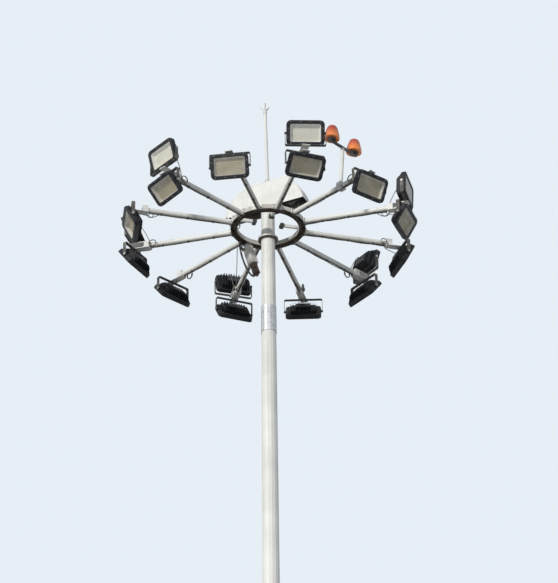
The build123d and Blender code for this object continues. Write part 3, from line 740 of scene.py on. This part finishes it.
def boltTree(values):
    grow = Grow("fasteners")
    points, sides, across, tall, stud = grow.sizes(
        points="Geometry", headSides="Int", headRadius="Float", headHeight="Float", studLength="Float")

    def part(count, radius, depth, lift):
        shape = grow.node("GeometryNodeMeshCylinder", inputs={
            "Vertices": count, "Radius": radius, "Depth": depth})
        offset = grow.node("ShaderNodeCombineXYZ", inputs={"Z": lift})
        return grow.node("GeometryNodeTransform", inputs={"Geometry": shape, "Translation": offset})

    wide, thick = values["washerWide"], values["washerThick"]
    washer = part(values["washerSides"], across * wide, tall * thick, tall * (thick / 2))
    head = part(sides, across, tall, tall * (thick + 0.5))
    end = part(values["studSides"], across * values["studWide"], stud, stud * 0.5)
    turn = grow.node("FunctionNodeAlignRotationToVector", {"axis": "Z"}, {"Vector": grow.aim()})
    grow.close(points, grow.join(washer, head, end), turn)
    return grow


boltGrower = boltTree(bolts)


def boltSet(name, spots):
    radius, tall, stud, sides, look = bolts[name]
    return boltGrower.grown(
        name, pointMesh(name + "Points", spots), headSides=sides, headRadius=radius, headHeight=tall,
        studLength=stud, look=looks[look])


# floodlights: one mesh drawn around the pivot, facing +X, then set out on the yokes

flood = {
    # width, height and corner radius
    "rim": (0.420, 0.280, 0.050), "lens": (0.350, 0.210, 0.024), "mouth": (0.334, 0.194, 0.016),
    "board": (0.300, 0.160, 0.008), "house": (0.290, 0.176, 0.012), "driver": (0.170, 0.092, 0.012),
    # places along the axis, from the pivot forwards
    "front": 0.040, "glassFront": 0.037, "glassBack": 0.032, "boardPlace": -0.008, "back": -0.014,
    "houseBack": -0.050, "finBack": -0.084, "driverBack": -0.088,
    "bevel": 0.006, "ease": 0.0018, "rimDepth": 0.030, "rimStep": 0.0025, "play": 0.0005,
    "cover": 0.003, "coverDepth": 0.012,        # the driver's cover stands out, and how deep it is
    "finCount": 13, "finSpread": 0.360, "finThickness": 0.004, "finRoot": 0.002, "finSteps": 7,
    "finFrontSize": (0.404, 0.264), "finBackSize": (0.300, 0.184),
    "chipsAcross": 14, "chipsUp": 7, "chipSize": 0.0125, "chipDepth": 0.003, "chipMargin": (0.026, 0.024),
    # turned parts: distance along and radius
    "boss": ((0, 0.0135), (0.0127, 0.0135)), "bossRoot": 0.003,
    "pin": ((0, 0.0078), (0.018, 0.0078)), "pinReach": 0.2333,
    "pinHead": ((0, 0.0095), (0.0005, 0.0105), (0.0055, 0.0105)),
    "pinWasher": ((0.0055, 0.0138), (0.0078, 0.0138)),
    "gland": ((0, 0.0115), (0.013, 0.0115), (0.015, 0.009), (0.026, 0.0075)),
    "glandPlace": (-0.070, 0.045), "glandRoot": 0.004, "glandLength": 0.022,
    # screws at shares of the way to the corners, and how far they and the cover's four are sunk
    "screwsAcross": (-0.84, -0.28, 0.28, 0.84), "screwsUp": (-0.4, 0.4), "screwSunk": 0.0022,
    "coverScrews": (0.072, 0.033), "coverSunk": 0.0018,
    "tiltLimit": -5.0,
}
floodLooks = ["casting", "reflector", "board", "glass", "steel", "chip"]
floodSlots = {look: index for index, look in enumerate(floodLooks)}


# a grid of equal blocks
def blockTree():
    grow = Grow("blockGrid")
    across, upward, spanY, spanZ, block, centre = grow.sizes(
        across="Int", upward="Int", spanY="Float", spanZ="Float", block="Vector", centre="Vector")
    grid = grow.node("GeometryNodeMeshGrid", inputs={
        "Size X": spanY, "Size Y": spanZ, "Vertices X": across, "Vertices Y": upward})
    moved = grow.node("GeometryNodeTransform", inputs={
        "Geometry": grid, "Rotation": (math.pi / 2, 0, math.pi / 2), "Translation": centre})
    grow.close(moved, grow.node("GeometryNodeMeshCube", inputs={"Size": block}))
    return grow


blocks = blockTree()


def addMesh(bm, mesh, look):
    before = len(bm.faces)
    bm.from_mesh(mesh)
    bm.faces.ensure_lookup_table()
    for face in bm.faces[before:]:
        face.material_index = floodSlots[look]
    bpy.data.meshes.remove(mesh)


# a cooling fin's outline, from the rim back to its edge, cut to the tapered back of the casting
def finOutline(values, across):
    corner = values["rim"][2]
    start = values["back"] + values["finRoot"]
    upper = []
    for share in shares(values["finSteps"]):
        halfWidth, halfHeight = (
            (first + (last - first) * share) / 2
            for first, last in zip(values["finFrontSize"], values["finBackSize"]))
        beyond = max(0.0, abs(across) + values["finThickness"] / 2 - (halfWidth - corner))
        if beyond >= corner:
            break
        along = start + (values["finBack"] - start) * share
        upper.append((along, halfHeight - corner + math.sqrt(corner ** 2 - beyond ** 2)))
    return upper + [(along, -height) for along, height in reversed(upper)]


def floodFins(bm, values):
    half = values["finThickness"] / 2
    for index in range(values["finCount"]):
        across = values["finSpread"] * (index / (values["finCount"] - 1) - 0.5)
        outline = finOutline(values, across)
        skin(bm, [[(along, across + y, z) for along, z in outline] for y in (-half, half)])


# glass ledge, front frame with a shallow step in its side, back plate and housing
def floodCasting(bm, values):
    rim, lens, house = values["rim"], values["lens"], values["house"]
    front, back, houseBack = values["front"], values["back"], values["houseBack"]
    bevel, ease, stepIn = values["bevel"], values["ease"], values["rimStep"]
    ledge = values["glassBack"] - 0.001
    step = front - values["rimDepth"]
    rows = [
        (ledge, values["mouth"]), (ledge, lens), (front - 0.001, lens), (front, lens, 0.001),
        (front, rim, -bevel), (front - ease, rim, -ease), (front - bevel, rim),
        (step, rim), (step - 0.0015, rim, -stepIn),
        (back + 0.003, rim, -stepIn - 0.001), (back, rim, -stepIn - 0.004),
        (back, house, bevel), (back - bevel, house),
        (houseBack + 0.003, house, -0.001), (houseBack, house, -0.004),
    ]
    skin(bm, [frameLoop(*row) for row in rows], closeStart=False)


# reflector walls that slope from the ledge to the board, the board, and the glass
def floodOpening(bm, values):
    mouth, board, lens = values["mouth"], values["board"], values["lens"]
    place, glassBack = values["boardPlace"], values["glassBack"]
    skin(bm, [
        frameLoop(glassBack - 0.001, mouth, -0.0002),
        frameLoop(glassBack - 0.005, mouth, -0.0016),
        frameLoop(place, board, 0.003),
    ], floodSlots["reflector"], closeStart=False, closeEnd=False)
    boardEdge = [frameLoop(place, board, 0.003), frameLoop(place + 0.001, board)]
    skin(bm, boardEdge, floodSlots["board"], closeStart=False)
    pane = [frameLoop(along, lens, -values["play"]) for along in (glassBack, values["glassFront"])]
    skin(bm, pane, floodSlots["glass"])


# driver box under its cover plate, with the cable gland on top
def floodDriver(bm, values):
    driver, back = values["driver"], values["driverBack"]
    lip = back + values["coverDepth"]
    rows = [
        (values["houseBack"] + 0.001, driver, -values["cover"]), (lip, driver, -values["cover"]),
        (lip, driver), (back + 0.002, driver), (back, driver, -0.002),
    ]
    skin(bm, [frameLoop(*row) for row in rows], closeStart=False)
    seat = (*values["glandPlace"], driver[1] / 2 - values["glandRoot"])
    turned(bm, seat, upright, values["gland"], 12)


# bosses, pins, and the pins' heads outside the yoke
def floodPivots(bm, values):
    edge, steel = values["rim"][0] / 2, floodSlots["steel"]
    for side in (-1, 1):
        outward = Vector((0, side, 0))
        head = outward * values["pinReach"]
        turned(bm, outward * (edge - values["bossRoot"]), outward, values["boss"], 22)
        turned(bm, outward * edge, outward, values["pin"], 14, steel)
        turned(bm, head, -outward, values["pinHead"], 6, steel)
        turned(bm, head, -outward, values["pinWasher"], 22, steel)


def floodChips(bm, values):
    depth, size = values["chipDepth"], values["chipSize"]
    spans = [whole - margin for whole, margin in zip(values["board"], values["chipMargin"])]
    holder = pointMesh("floodChipsSeed", [((0, 0, 0), (0, 0, 1))])
    chips = blocks.grown(
        "floodChips", holder, across=values["chipsAcross"], upward=values["chipsUp"],
        spanY=spans[0], spanZ=spans[1], block=(depth, size, size),
        centre=(values["boardPlace"] + 0.001 + depth / 2, 0, 0), look=looks["chip"])
    addMesh(bm, chips, "chip")


def floodScrews(bm, values):
    halfY, halfZ = ((outer + inner) / 4 for outer, inner in zip(values["rim"][:2], values["lens"][:2]))
    edge = [(y * halfY, side * halfZ) for side in (-1, 1) for y in values["screwsAcross"]]
    edge += [(side * halfY, z * halfZ) for side in (-1, 1) for z in values["screwsUp"]]
    coverY, coverZ = values["coverScrews"]
    cover = [(y, z) for y in (-coverY, coverY) for z in (-coverZ, coverZ)]
    for name, along, way, places in (
            ("floodScrews", values["front"] - values["screwSunk"], 1, edge),
            ("coverScrews", values["driverBack"] + values["coverSunk"], -1, cover)):
        addMesh(bm, boltSet(name, [(Vector((along, y, z)), (way, 0, 0)) for y, z in places]), "steel")


def floodMesh(values):
    bm = bmesh.new()
    for part in (floodCasting, floodOpening, floodDriver, floodPivots, floodFins, floodChips, floodScrews):
        part(bm, values)
    return bm


floodBase = floodMesh(flood)


def floodPlace(joint):
    axis = Vector(joint["axis"])
    outward = Vector((axis.y, -axis.x, 0))
    down = math.radians(flood["tiltLimit"] - joint["range_deg"][0])
    facing = outward * math.cos(down) - upright * math.sin(down)
    turn = Matrix((facing, axis, facing.cross(axis))).transposed().to_4x4()
    return Matrix.Translation(joint["pos_m"]) @ turn


floodPlaces = {}
for joint in frame["joints"]:
    if joint["type"] != "hinge":
        continue
    body = joint["child"]
    place = floodPlace(joint)
    floodPlaces[body] = place
    copy = floodBase.copy()
    bmesh.ops.transform(copy, matrix=place, verts=copy.verts)
    newPiece("floodlight_" + body, copy, floodLooks, body, [body], 30)
floodBase.free()
print("floodlights made:", len(floodPlaces))


# cables along the arms: three leads with ties, lying under each tube

armCable = {
    "start": 0.440, "end": 1.385, "steps": 30, "leadRadius": 0.0042, "gap": 0.0006,
    "sag": 0.004, "spacing": 0.0085, "wander": 0.003,
    "tieFirst": 0.64, "tieSpacing": 0.30, "tieWidth": 0.014, "tieThickness": 0.0022,
    "tieHalf": (0.0165, 0.0155),        # across and down
    # from the ring's outside: inward, across the arm, up
    "root": ((0.056, 0.040, 0.0), (0.044, 0.040, -0.020), (0.026, 0.037, -0.033), (0.006, 0.026, -0.036)),
}


def armCables(values):
    bm = bmesh.new()
    dice = random.Random(11)
    radius = values["leadRadius"]
    under = armRadius + radius + values["gap"]
    for turn in armTurns:
        for lead in (-1, 0, 1):
            phase = dice.uniform(0, math.tau)
            side = lead or 1
            # out of the ring's channel, beside the arm, then under it
            points = [armPoint(turn, ringOuter - inward, side * across, height)
                      for inward, across, height in values["root"]]
            for share in shares(values["steps"]):
                reach = values["start"] + (values["end"] - values["start"]) * share
                between = (reach - values["tieFirst"]) / values["tieSpacing"]
                loose = abs(math.sin(math.pi * between))
                across = lead * values["spacing"] + values["wander"] * loose * math.sin(7 * reach + phase)
                sag = values["sag"] * loose * (1 + 0.6 * lead)
                points.append(armPoint(turn, reach, across, -under - sag))
            tubeAlong(bm, points, radius)
    newPiece("armLeads", bm, ["lead"], "carriage", ["arm_cables"])


armCables(armCable)


# a clip bent under the arm and round its leads, repeated along every arm
def tieTree():
    grow = Grow("cableTies")
    points, across, down, wide, thick = grow.sizes(
        points="Geometry", halfAcross="Float", halfDown="Float", width="Float", thickness="Float")
    hoop = grow.node("GeometryNodeCurvePrimitiveCircle", inputs={"Resolution": 22, "Radius": 1.0})
    size = grow.node("ShaderNodeCombineXYZ", inputs={"X": down, "Y": across, "Z": 1.0})
    oval = grow.node("GeometryNodeTransform", inputs={"Geometry": hoop, "Scale": size})
    strap = grow.node("GeometryNodeCurvePrimitiveQuadrilateral", inputs={"Width": thick, "Height": wide})
    band = grow.node("GeometryNodeCurveToMesh", inputs={"Curve": oval, "Profile Curve": strap})
    turnZ = grow.node("FunctionNodeAlignRotationToVector", {"axis": "Z"}, {"Vector": grow.aim()})
    turnX = grow.node("FunctionNodeAlignRotationToVector", {"axis": "X", "pivot_axis": "Z"}, {
        "Rotation": turnZ, "Vector": (0.0, 0.0, 1.0)})
    grow.close(points, band, turnX)
    return grow


ties = tieTree()


def armTies(values):
    spots = []
    for turn in armTurns:
        reach = values["tieFirst"]
        while reach < values["end"]:
            spots.append((armPoint(turn, reach, 0, -armRadius), armAxes(turn)[0]))
            reach += values["tieSpacing"]
    across, down = values["tieHalf"]
    mesh = ties.grown(
        "cableClips", pointMesh("clipPoints", spots), halfAcross=across, halfDown=down,
        width=values["tieWidth"], thickness=values["tieThickness"], look=looks["cable"])
    meshPiece("cableClips", mesh, "carriage")


armTies(armCable)
print("arm cables tied")


# leads from the arm ends into the floodlights

lead = {
    "radius": 0.0042, "steps": 22, "startReach": 1.380, "startHeight": -0.0345, "intoGland": 0.002,
    # each row's start across the arm, its bend there (out, across, up) and its bend at the floodlight
    # (up from the gland, out)
    "lower": {"across": -0.006, "armBend": (-0.03, 0.0, -0.070), "floodBend": (0.06, -0.07)},
    "upper": {"across": 0.010, "armBend": (-0.03, 0.075, 0.02), "floodBend": (0.11, -0.05)},
}


def bezier(a, b, c, d, steps):
    return [a * (1 - t) ** 3 + b * 3 * (1 - t) ** 2 * t + c * 3 * (1 - t) * t ** 2 + d * t ** 3
            for t in shares(steps)]


def floodLead(body, place, values):
    row = values[body.split("_")[0]]
    turn = armTurns[int(body[-2:]) - 1]
    outward, beside = armAxes(turn)
    start = armPoint(turn, values["startReach"], row["across"], values["startHeight"])
    top = flood["driver"][1] / 2 + flood["glandLength"] - values["intoGland"]
    gland = place @ Vector((*flood["glandPlace"], top))
    leave = (place.to_3x3() @ upright).normalized()
    out, across, up = row["armBend"]
    first = start + outward * out + beside * across + upright * up
    up, out = row["floodBend"]
    second = gland + leave * up + outward * out
    bm = bmesh.new()
    tubeAlong(bm, bezier(start, first, second, gland, values["steps"]), values["radius"])
    piece = newPiece("lead_" + body, bm, ["lead"])
    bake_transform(piece)


for body, place in floodPlaces.items():
    floodLead(body, place, lead)
print("leads joined")


# hood: bent sheet over two side plates, with folded lips and rivets

hood = {
    "length": 2 * (ropeReach + 0.1035), "width": 0.200, "height": 0.345, "sheet": 0.003, "steps": 14,
    "topLeft": -0.148, "topRight": 0.286,
    "leftBulge": (-0.366, 0.246), "rightBulge": (0.408, 0.206),
    "foldRadius": 0.004, "panelSunk": 0.0024, "panelEdge": (0.021, 0.018, 0.015),
    "earPlace": -0.430, "earWidth": 0.060, "earDrop": 0.028, "earLap": 0.012, "earHole": 0.034,
    "earInset": 0.0003, "earSteps": 40,
    "rivetInset": 0.011, "rivetEvery": 2,
}


def arcThrough(start, via, end, steps):
    (ax, az), (bx, bz), (cx, cz) = start, via, end
    d = 2 * (ax * (bz - cz) + bx * (cz - az) + cx * (az - bz))
    a2, b2, c2 = ax * ax + az * az, bx * bx + bz * bz, cx * cx + cz * cz
    ux = (a2 * (bz - cz) + b2 * (cz - az) + c2 * (az - bz)) / d
    uz = (a2 * (cx - bx) + b2 * (ax - cx) + c2 * (bx - ax)) / d
    radius = math.hypot(ax - ux, az - uz)
    first = math.atan2(az - uz, ax - ux)
    last = math.atan2(cz - uz, cx - ux)
    sweep = (last - first + math.pi) % math.tau - math.pi
    angles = [first + sweep * share for share in shares(steps)]
    return [(ux + radius * math.cos(angle), uz + radius * math.sin(angle)) for angle in angles]


def hoodLine(values):
    half, top, steps = values["length"] / 2, values["height"], values["steps"]
    right = arcThrough((half, 0), values["rightBulge"], (values["topRight"], top), steps)
    left = arcThrough((values["topLeft"], top), values["leftBulge"], (-half, 0), steps)
    return right + left


def hoodSpot(x, y, z):
    across, along = math.sin(hoodTurn), math.cos(hoodTurn)
    return Vector((x * along - y * across, x * across + y * along, mastTop + z))


def inset(line, distance):
    moved = []
    for index, (x, z) in enumerate(line):
        before = line[max(index - 1, 0)]
        after = line[min(index + 1, len(line) - 1)]
        alongX, alongZ = after[0] - before[0], after[1] - before[1]
        size = math.hypot(alongX, alongZ)
        moved.append((x - alongZ / size * distance, max(z + alongX / size * distance, 0.0)))
    return moved


def makeHood(values):
    line = hoodLine(values)
    half = values["width"] / 2
    edge = values["foldRadius"]
    wall = half - values["sheet"]
    bm = bmesh.new()

    def loop(y, inward):
        return [hoodSpot(x, y, z) for x, z in inset(line, inward)]

    # outside: one side plate with its pressed panel, over the bent sheet, to the other side plate
    sunk = half - values["panelSunk"]
    flat, foot, rise = values["panelEdge"]
    panel = [(sunk, flat), (sunk, foot), (half, rise), (half, edge), (half - edge, 0.0)]
    outside = [loop(-y, inward) for y, inward in panel] + [loop(y, inward) for y, inward in reversed(panel)]
    rows = skin(bm, outside, 0, wrap=False)
    # the lining takes the dark second finish, painted shade
    lining = skin(bm, [loop(y, values["sheet"]) for y in (-wall, wall)], 1, wrap=False)
    # the rim that joins outside and lining at the mouth
    for end in (0, -1):
        bm.faces.new([row[end] for row in rows] + [row[end] for row in reversed(lining)])
    for outer, inner in ((rows[0], lining[0]), (rows[-1], lining[-1])):
        bm.faces.new((outer[0], outer[-1], inner[-1], inner[0]))
    for side in (-1, 1):
        hoodEar(bm, values, side)
    newPiece("hoodShell", bm, ["hood", "hoodInside"], "mast", ["hood"], 30)


# lifting ear below a side plate: a strap with a round end and a hole
def hoodEar(bm, values, side):
    halfWidth, hole = values["earWidth"] / 2, values["earHole"] / 2
    place, drop, steps = values["earPlace"], values["earDrop"], values["earSteps"]
    outline, ring = [], []
    for step in range(steps):
        angle = math.tau * (step + 0.5) / steps
        sideways, upward = math.cos(angle), math.sin(angle)
        reach = halfWidth
        if upward > 0:
            reach = min(halfWidth / max(abs(sideways), 0.001), (drop + values["earLap"]) / upward)
        outline.append((place + sideways * reach, upward * reach - drop))
        ring.append((place + sideways * hole, upward * hole - drop))
    outer = values["width"] / 2 - values["earInset"]
    inner = outer - values["sheet"]
    order = ((ring, outer), (outline, outer), (outline, inner), (ring, inner), (ring, outer))
    loops = [[hoodSpot(x, side * y, z) for x, z in points] for points, y in order]
    skin(bm, loops, closeStart=False, closeEnd=False)


def hoodRivets(values):
    line = inset(hoodLine(values), values["rivetInset"])[2:-2:values["rivetEvery"]]
    beside = armAxes(hoodTurn)[1]
    spots = []
    for side in (-1, 1):
        spots += [(hoodSpot(x, side * values["width"] / 2, z), beside * side) for x, z in line]
    meshPiece("hoodRivets", boltSet("hoodRivets", spots), "mast")


makeHood(hood)
hoodRivets(hood)
print("hood made")


# bolts on the ring and the arms' heads, and nuts on the base

fastening = {
    # out from the mast's axis, across the arm, above the ring's middle
    "lowerYoke": (armReach + 0.115, 0, -headHalf - 0.005),
    "upperYoke": (armReach + 0.150, 0, headHalf + 0.005),
    "fromAbove": ((ringOuter - 0.020, 0.036, 0.030), (armReach - 0.050, 0.028, headHalf),
                  (armReach - 0.015, 0.028, headHalf)),
    "fromOutside": (ringOuter + 0.008, 0.042, 0.018),
    "anchors": 8, "anchorReach": 0.205, "anchorLevel": 0.028,
}


def fasteners(values):
    spots = []
    for number, turn in enumerate(armTurns, 1):
        spots.append((armPoint(turn, *values["lowerYoke"]), -upright))
        if number % 2:
            spots.append((armPoint(turn, *values["upperYoke"]), upright))
        for side in (-1, 1):
            for reach, across, height in values["fromAbove"]:
                spots.append((armPoint(turn, reach, side * across, height), upright))
            reach, across, height = values["fromOutside"]
            for row in (-1, 1):
                spots.append((armPoint(turn, reach, side * across, row * height), armAxes(turn)[0]))
    meshPiece("carriageBolts", boltSet("carriageBolts", spots), "carriage")
    turns = [math.tau * index / values["anchors"] for index in range(values["anchors"])]
    level = upright * values["anchorLevel"]
    spots = [(armAxes(turn)[0] * values["anchorReach"] + level, upright) for turn in turns]
    meshPiece("anchorNuts", boltSet("anchorNuts", spots), "mast")


fasteners(fastening)
print("bolts set")


# hoist ropes: two straight ropes from the pulleys down to the ring, in place of the frame's

rope = {"radius": 0.004, "steps": 40}


def hoistRopes(values):
    low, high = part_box("hoist_ropes")
    outward = armAxes(hoodTurn)[0] * ropeReach
    top, bottom = upright * high.z, upright * low.z
    bm = bmesh.new()
    for side in (-1, 1):
        points = [top.lerp(bottom, share) + outward * side for share in shares(values["steps"])]
        tubeAlong(bm, points, values["radius"])
    piece = newPiece("hoistRopes", bm, ["rope"], replaced=["hoist_ropes"])
    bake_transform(piece)


hoistRopes(rope)
print("ropes hung")


# wiring on the ring: bundle in the channel, coils of spare lead, the box's cables and a loose one

wiring = {
    "bundle": 5, "bundleRadius": 0.005, "bundleInset": 0.056, "bundleSteps": 120, "bundleSides": 6,
    "bundleWander": (0.007, 3, 7, 0.6),         # size, waves round the ring, finer waves and their share
    "bundleRise": (0.002, 0.008, 5),            # height, size, waves
    "coilReach": 1.352, "coilHeight": -0.014, "coilRadius": (0.0336, 0.042, 0.042),
    "coilAcross": 0.054, "coilLean": 0.012, "coilTurns": 2.3, "coilSteps": 44,
    "coilRoot": (-0.09, 0.012, -0.006), "coilRootSteps": 6, "coilPull": (0.5, 4),
    "boxTurn": 127.0, "boxReach": 0.405, "boxLevel": -0.036, "boxLean": 16.0, "boxEnd": 0.398,
    # the thick cable: its start, its bend there, and its bend and overlap at the plug
    "boxCable": 0.011, "boxStart": (-0.085, -0.020, 0.040), "boxLeave": (0.010, 0, -0.26),
    "boxArrive": (0.16, -0.085), "boxOverlap": 0.01,
    # three thin ones side by side, from the box up to the ring
    "thinCable": 0.0065, "thinShifts": (-0.022, 0.0, 0.022), "thinSpread": 1.3,
    "thinRoot": (0.075, -0.046), "thinTop": (-0.060, 0.040), "thinBend": (-0.045, -0.05), "thinInto": 0.012,
    "looseFrom": (9, 0.50, 0, -0.004), "looseTo": (8, 1.370, 0.030, -0.010),
    "looseDrop": (-0.22, 0.4), "looseSteps": 22,
}


def ringBundle(bm, values):
    dice = random.Random(5)
    steps = values["bundleSteps"]
    size, waves, fineWaves, fineShare = values["bundleWander"]
    level, swing, rises = values["bundleRise"]
    for cable in range(values["bundle"]):
        phases = [dice.uniform(0, math.tau) for _ in range(3)]
        loop = []
        for step in range(steps):
            turn = math.tau * step / steps
            wander = math.sin(waves * turn + phases[0]) + fineShare * math.sin(fineWaves * turn + phases[1])
            height = level + swing * math.sin(rises * turn + phases[2])
            loop.append(armPoint(turn, ringOuter - values["bundleInset"] + size * wander, 0, height))
        tubeAlong(bm, loop + [loop[0]], values["bundleRadius"], values["bundleSides"])


def spareCoils(bm, values):
    inward, rootAcross, below = values["coilRoot"]
    rootPull, coilPull = values["coilPull"]
    for number, turn in enumerate(armTurns, 1):
        side = 1 if number % 2 else -1
        radius = values["coilRadius"][number % 3]
        points = []
        for share in shares(values["coilSteps"]):
            angle = math.tau * values["coilTurns"] * share
            across = side * (values["coilAcross"] + values["coilLean"] * share)
            reach = values["coilReach"] + radius * math.sin(angle)
            points.append(armPoint(turn, reach, across, values["coilHeight"] - radius * math.cos(angle)))
        root = armPoint(turn, values["coilReach"] + inward, side * rootAcross, -armRadius + below)
        start, after = points[:2]
        bend = start - (after - start) * coilPull
        rise = bezier(root, root + (start - root) * rootPull, bend, start, values["coilRootSteps"])
        tubeAlong(bm, rise[:-1] + points, lead["radius"])


# the point that the box's cables hang from, and the way they lean
def plugLine(values):
    lean = math.radians(values["boxLean"])
    hanger = armPoint(math.radians(values["boxTurn"]), values["boxReach"], 0, values["boxLevel"])
    return hanger, Vector((math.sin(lean), 0, -math.cos(lean)))


def boxCables(bm, values):
    hanger, along = plugLine(values)
    start, end = hanger + Vector(values["boxStart"]), hanger + along * values["boxEnd"]
    pull, sideways = values["boxArrive"]
    arrive = end + (along * pull + Vector((sideways, 0, 0)))
    leave, last = start + Vector(values["boxLeave"]), end - along * values["boxOverlap"]
    tubeAlong(bm, bezier(start, leave, arrive, last, 24), values["boxCable"], 12)
    rootDown, rootOut = values["thinRoot"]
    topOut, topUp = values["thinTop"]
    bendOut, bendDown = values["thinBend"]
    for shift in values["thinShifts"]:
        root = hanger + along * rootDown + Vector((rootOut, shift, 0))
        top = hanger + Vector((topOut, values["thinSpread"] * shift, topUp))
        start = root + Vector((values["thinInto"], 0, 0))
        points = bezier(start, root + Vector((bendOut, 0, 0)), top + upright * bendDown, top, 12)
        tubeAlong(bm, points, values["thinCable"])


def looseLead(bm, values):
    arm, reach, across, below = values["looseFrom"]
    start = armPoint(armTurns[arm], reach, across, -armRadius + below)
    arm, reach, across, height = values["looseTo"]
    end = armPoint(armTurns[arm], reach, across, height)
    down, share = values["looseDrop"]
    drop = upright * down
    tubeAlong(bm, bezier(start, start + drop, end + drop * share, end, values["looseSteps"]), lead["radius"])


def makeWiring(values):
    bm = bmesh.new()
    for part in (ringBundle, spareCoils, boxCables, looseLead):
        part(bm, values)
    newPiece("ringWiring", bm, ["lead"], "carriage")


makeWiring(wiring)
print("wiring laid")


# small fittings: plug collar, lamp ribs, door hinges and lock, earthing lug

fittings = {
    # the plug's rings: their place along the line of the plug, and distance and radius pairs
    "plugRings": (
        (0.268, ((0, 0.043), (0.002, 0.046), (0.020, 0.046), (0.022, 0.043)), 28),
        (0.368, ((0, 0.043), (0.001, 0.044), (0.026, 0.044), (0.030, 0.038)), 28),
        (0.398, ((0, 0.026), (0.018, 0.024), (0.022, 0.016), (0.034, 0.014)), 18)),
    "postReach": 1.150, "postArm": 4, "postLean": 3.5, "postFoot": 0.042,
    "lampLevel": 0.507, "lampSpacing": 0.355,
    "lampRim": 0.088, "lampTop": 0.050, "lampRimHeight": 0.026, "lampHeight": 0.170,
    "ribs": 8, "firstRib": 0.004, "ribSpacing": 0.0135,
    "ribShape": ((-0.004, -0.002), (-0.0015, 0.0016), (0.0015, 0.0016), (0.004, -0.002)), "ribSides": 36,
    # hinges and locks by shares of the door's height
    "hingeLevels": (0.22, 0.78), "hingePlace": (-0.002, -0.001),
    "hingeShape": ((0, 0.006), (0.001, 0.008), (0.074, 0.008), (0.075, 0.006)),
    "lockLevels": (0.30, 0.70), "lockPlace": (-0.022, 0.0005),
    "lockShape": ((0, 0.016), (0.003, 0.0155), (0.004, 0.011), (0.008, 0.010)),
    "keyShape": ((0.008, 0.006), (0.012, 0.006)),
    # earthing lug: where it starts and ends along X, half its width, its foot and its top
    "lug": (0.128, 0.140, 0.020, 0.110, 0.150),
}


def plugCollar(values):
    hanger, along = plugLine(wiring)
    bm = bmesh.new()
    for place, profile, sides in values["plugRings"]:
        turned(bm, hanger + along * place, along, profile, sides)
    newPiece("plugCollar", bm, ["plug"], "carriage")


def lampRibs(values):
    turn = armTurns[values["postArm"] - 1]
    lean = Matrix.Rotation(math.radians(values["postLean"]), 3, "Y")
    along = lean @ upright
    across = lean @ armAxes(turn)[1]
    foot = armPoint(turn, values["postReach"], 0, values["postFoot"]) + along * values["lampLevel"]
    rimHeight = values["lampRimHeight"]
    slope = (values["lampRim"] - values["lampTop"]) / (values["lampHeight"] - rimHeight)
    bm = bmesh.new()
    for side in (-1, 1):
        base = foot + across * (side * values["lampSpacing"] / 2)
        for rib in range(values["ribs"]):
            height = rimHeight + values["firstRib"] + values["ribSpacing"] * rib
            radius = values["lampRim"] - slope * (height - rimHeight)
            profile = [(height + rise, radius + out) for rise, out in values["ribShape"]]
            turned(bm, base, along, profile, values["ribSides"])
    newPiece("lampRibs", bm, ["lens"], "carriage")


def doorFurniture(values):
    low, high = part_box("access_door")
    tall = high.z - low.z
    bm = bmesh.new()
    x, y = values["hingePlace"]
    for level in values["hingeLevels"]:
        base = (low.x + x, low.y + y, low.z + tall * level)
        turned(bm, base, upright, values["hingeShape"], 16)
    x, y = values["lockPlace"]
    for level in values["lockLevels"]:
        base = (high.x + x, low.y + y, low.z + tall * level)
        turned(bm, base, (0, -1, 0), values["lockShape"])
        turned(bm, base, (0, -1, 0), values["keyShape"], 3)
    start, end, half, foot, top = values["lug"]
    corners = ((-half, foot), (half, foot), (half, top), (-half, top))
    skin(bm, [[Vector((x, y, z)) for y, z in corners] for x in (start, end)])
    newPiece("mastFittings", bm, ["steel"], "mast")
    middle = Vector((end, 0, (foot + top) / 2))
    meshPiece("lugBolt", boltSet("lugBolt", [(middle, (1, 0, 0))]), "mast")


plugCollar(fittings)
lampRibs(fittings)
doorFurniture(fittings)
print("fittings made")


# studio floor

def makeFloor(values):
    half = values["floorSize"] / 2
    mesh = bpy.data.meshes.new("floor")
    corners = [(-half, -half, 0), (half, -half, 0), (half, half, 0), (-half, half, 0)]
    mesh.from_pydata(corners, [], [(0, 1, 2, 3)])
    mesh.materials.append(looks["floor"])
    newObject("floor", mesh)


makeFloor(light)
scene.view_settings.view_transform = "Standard"
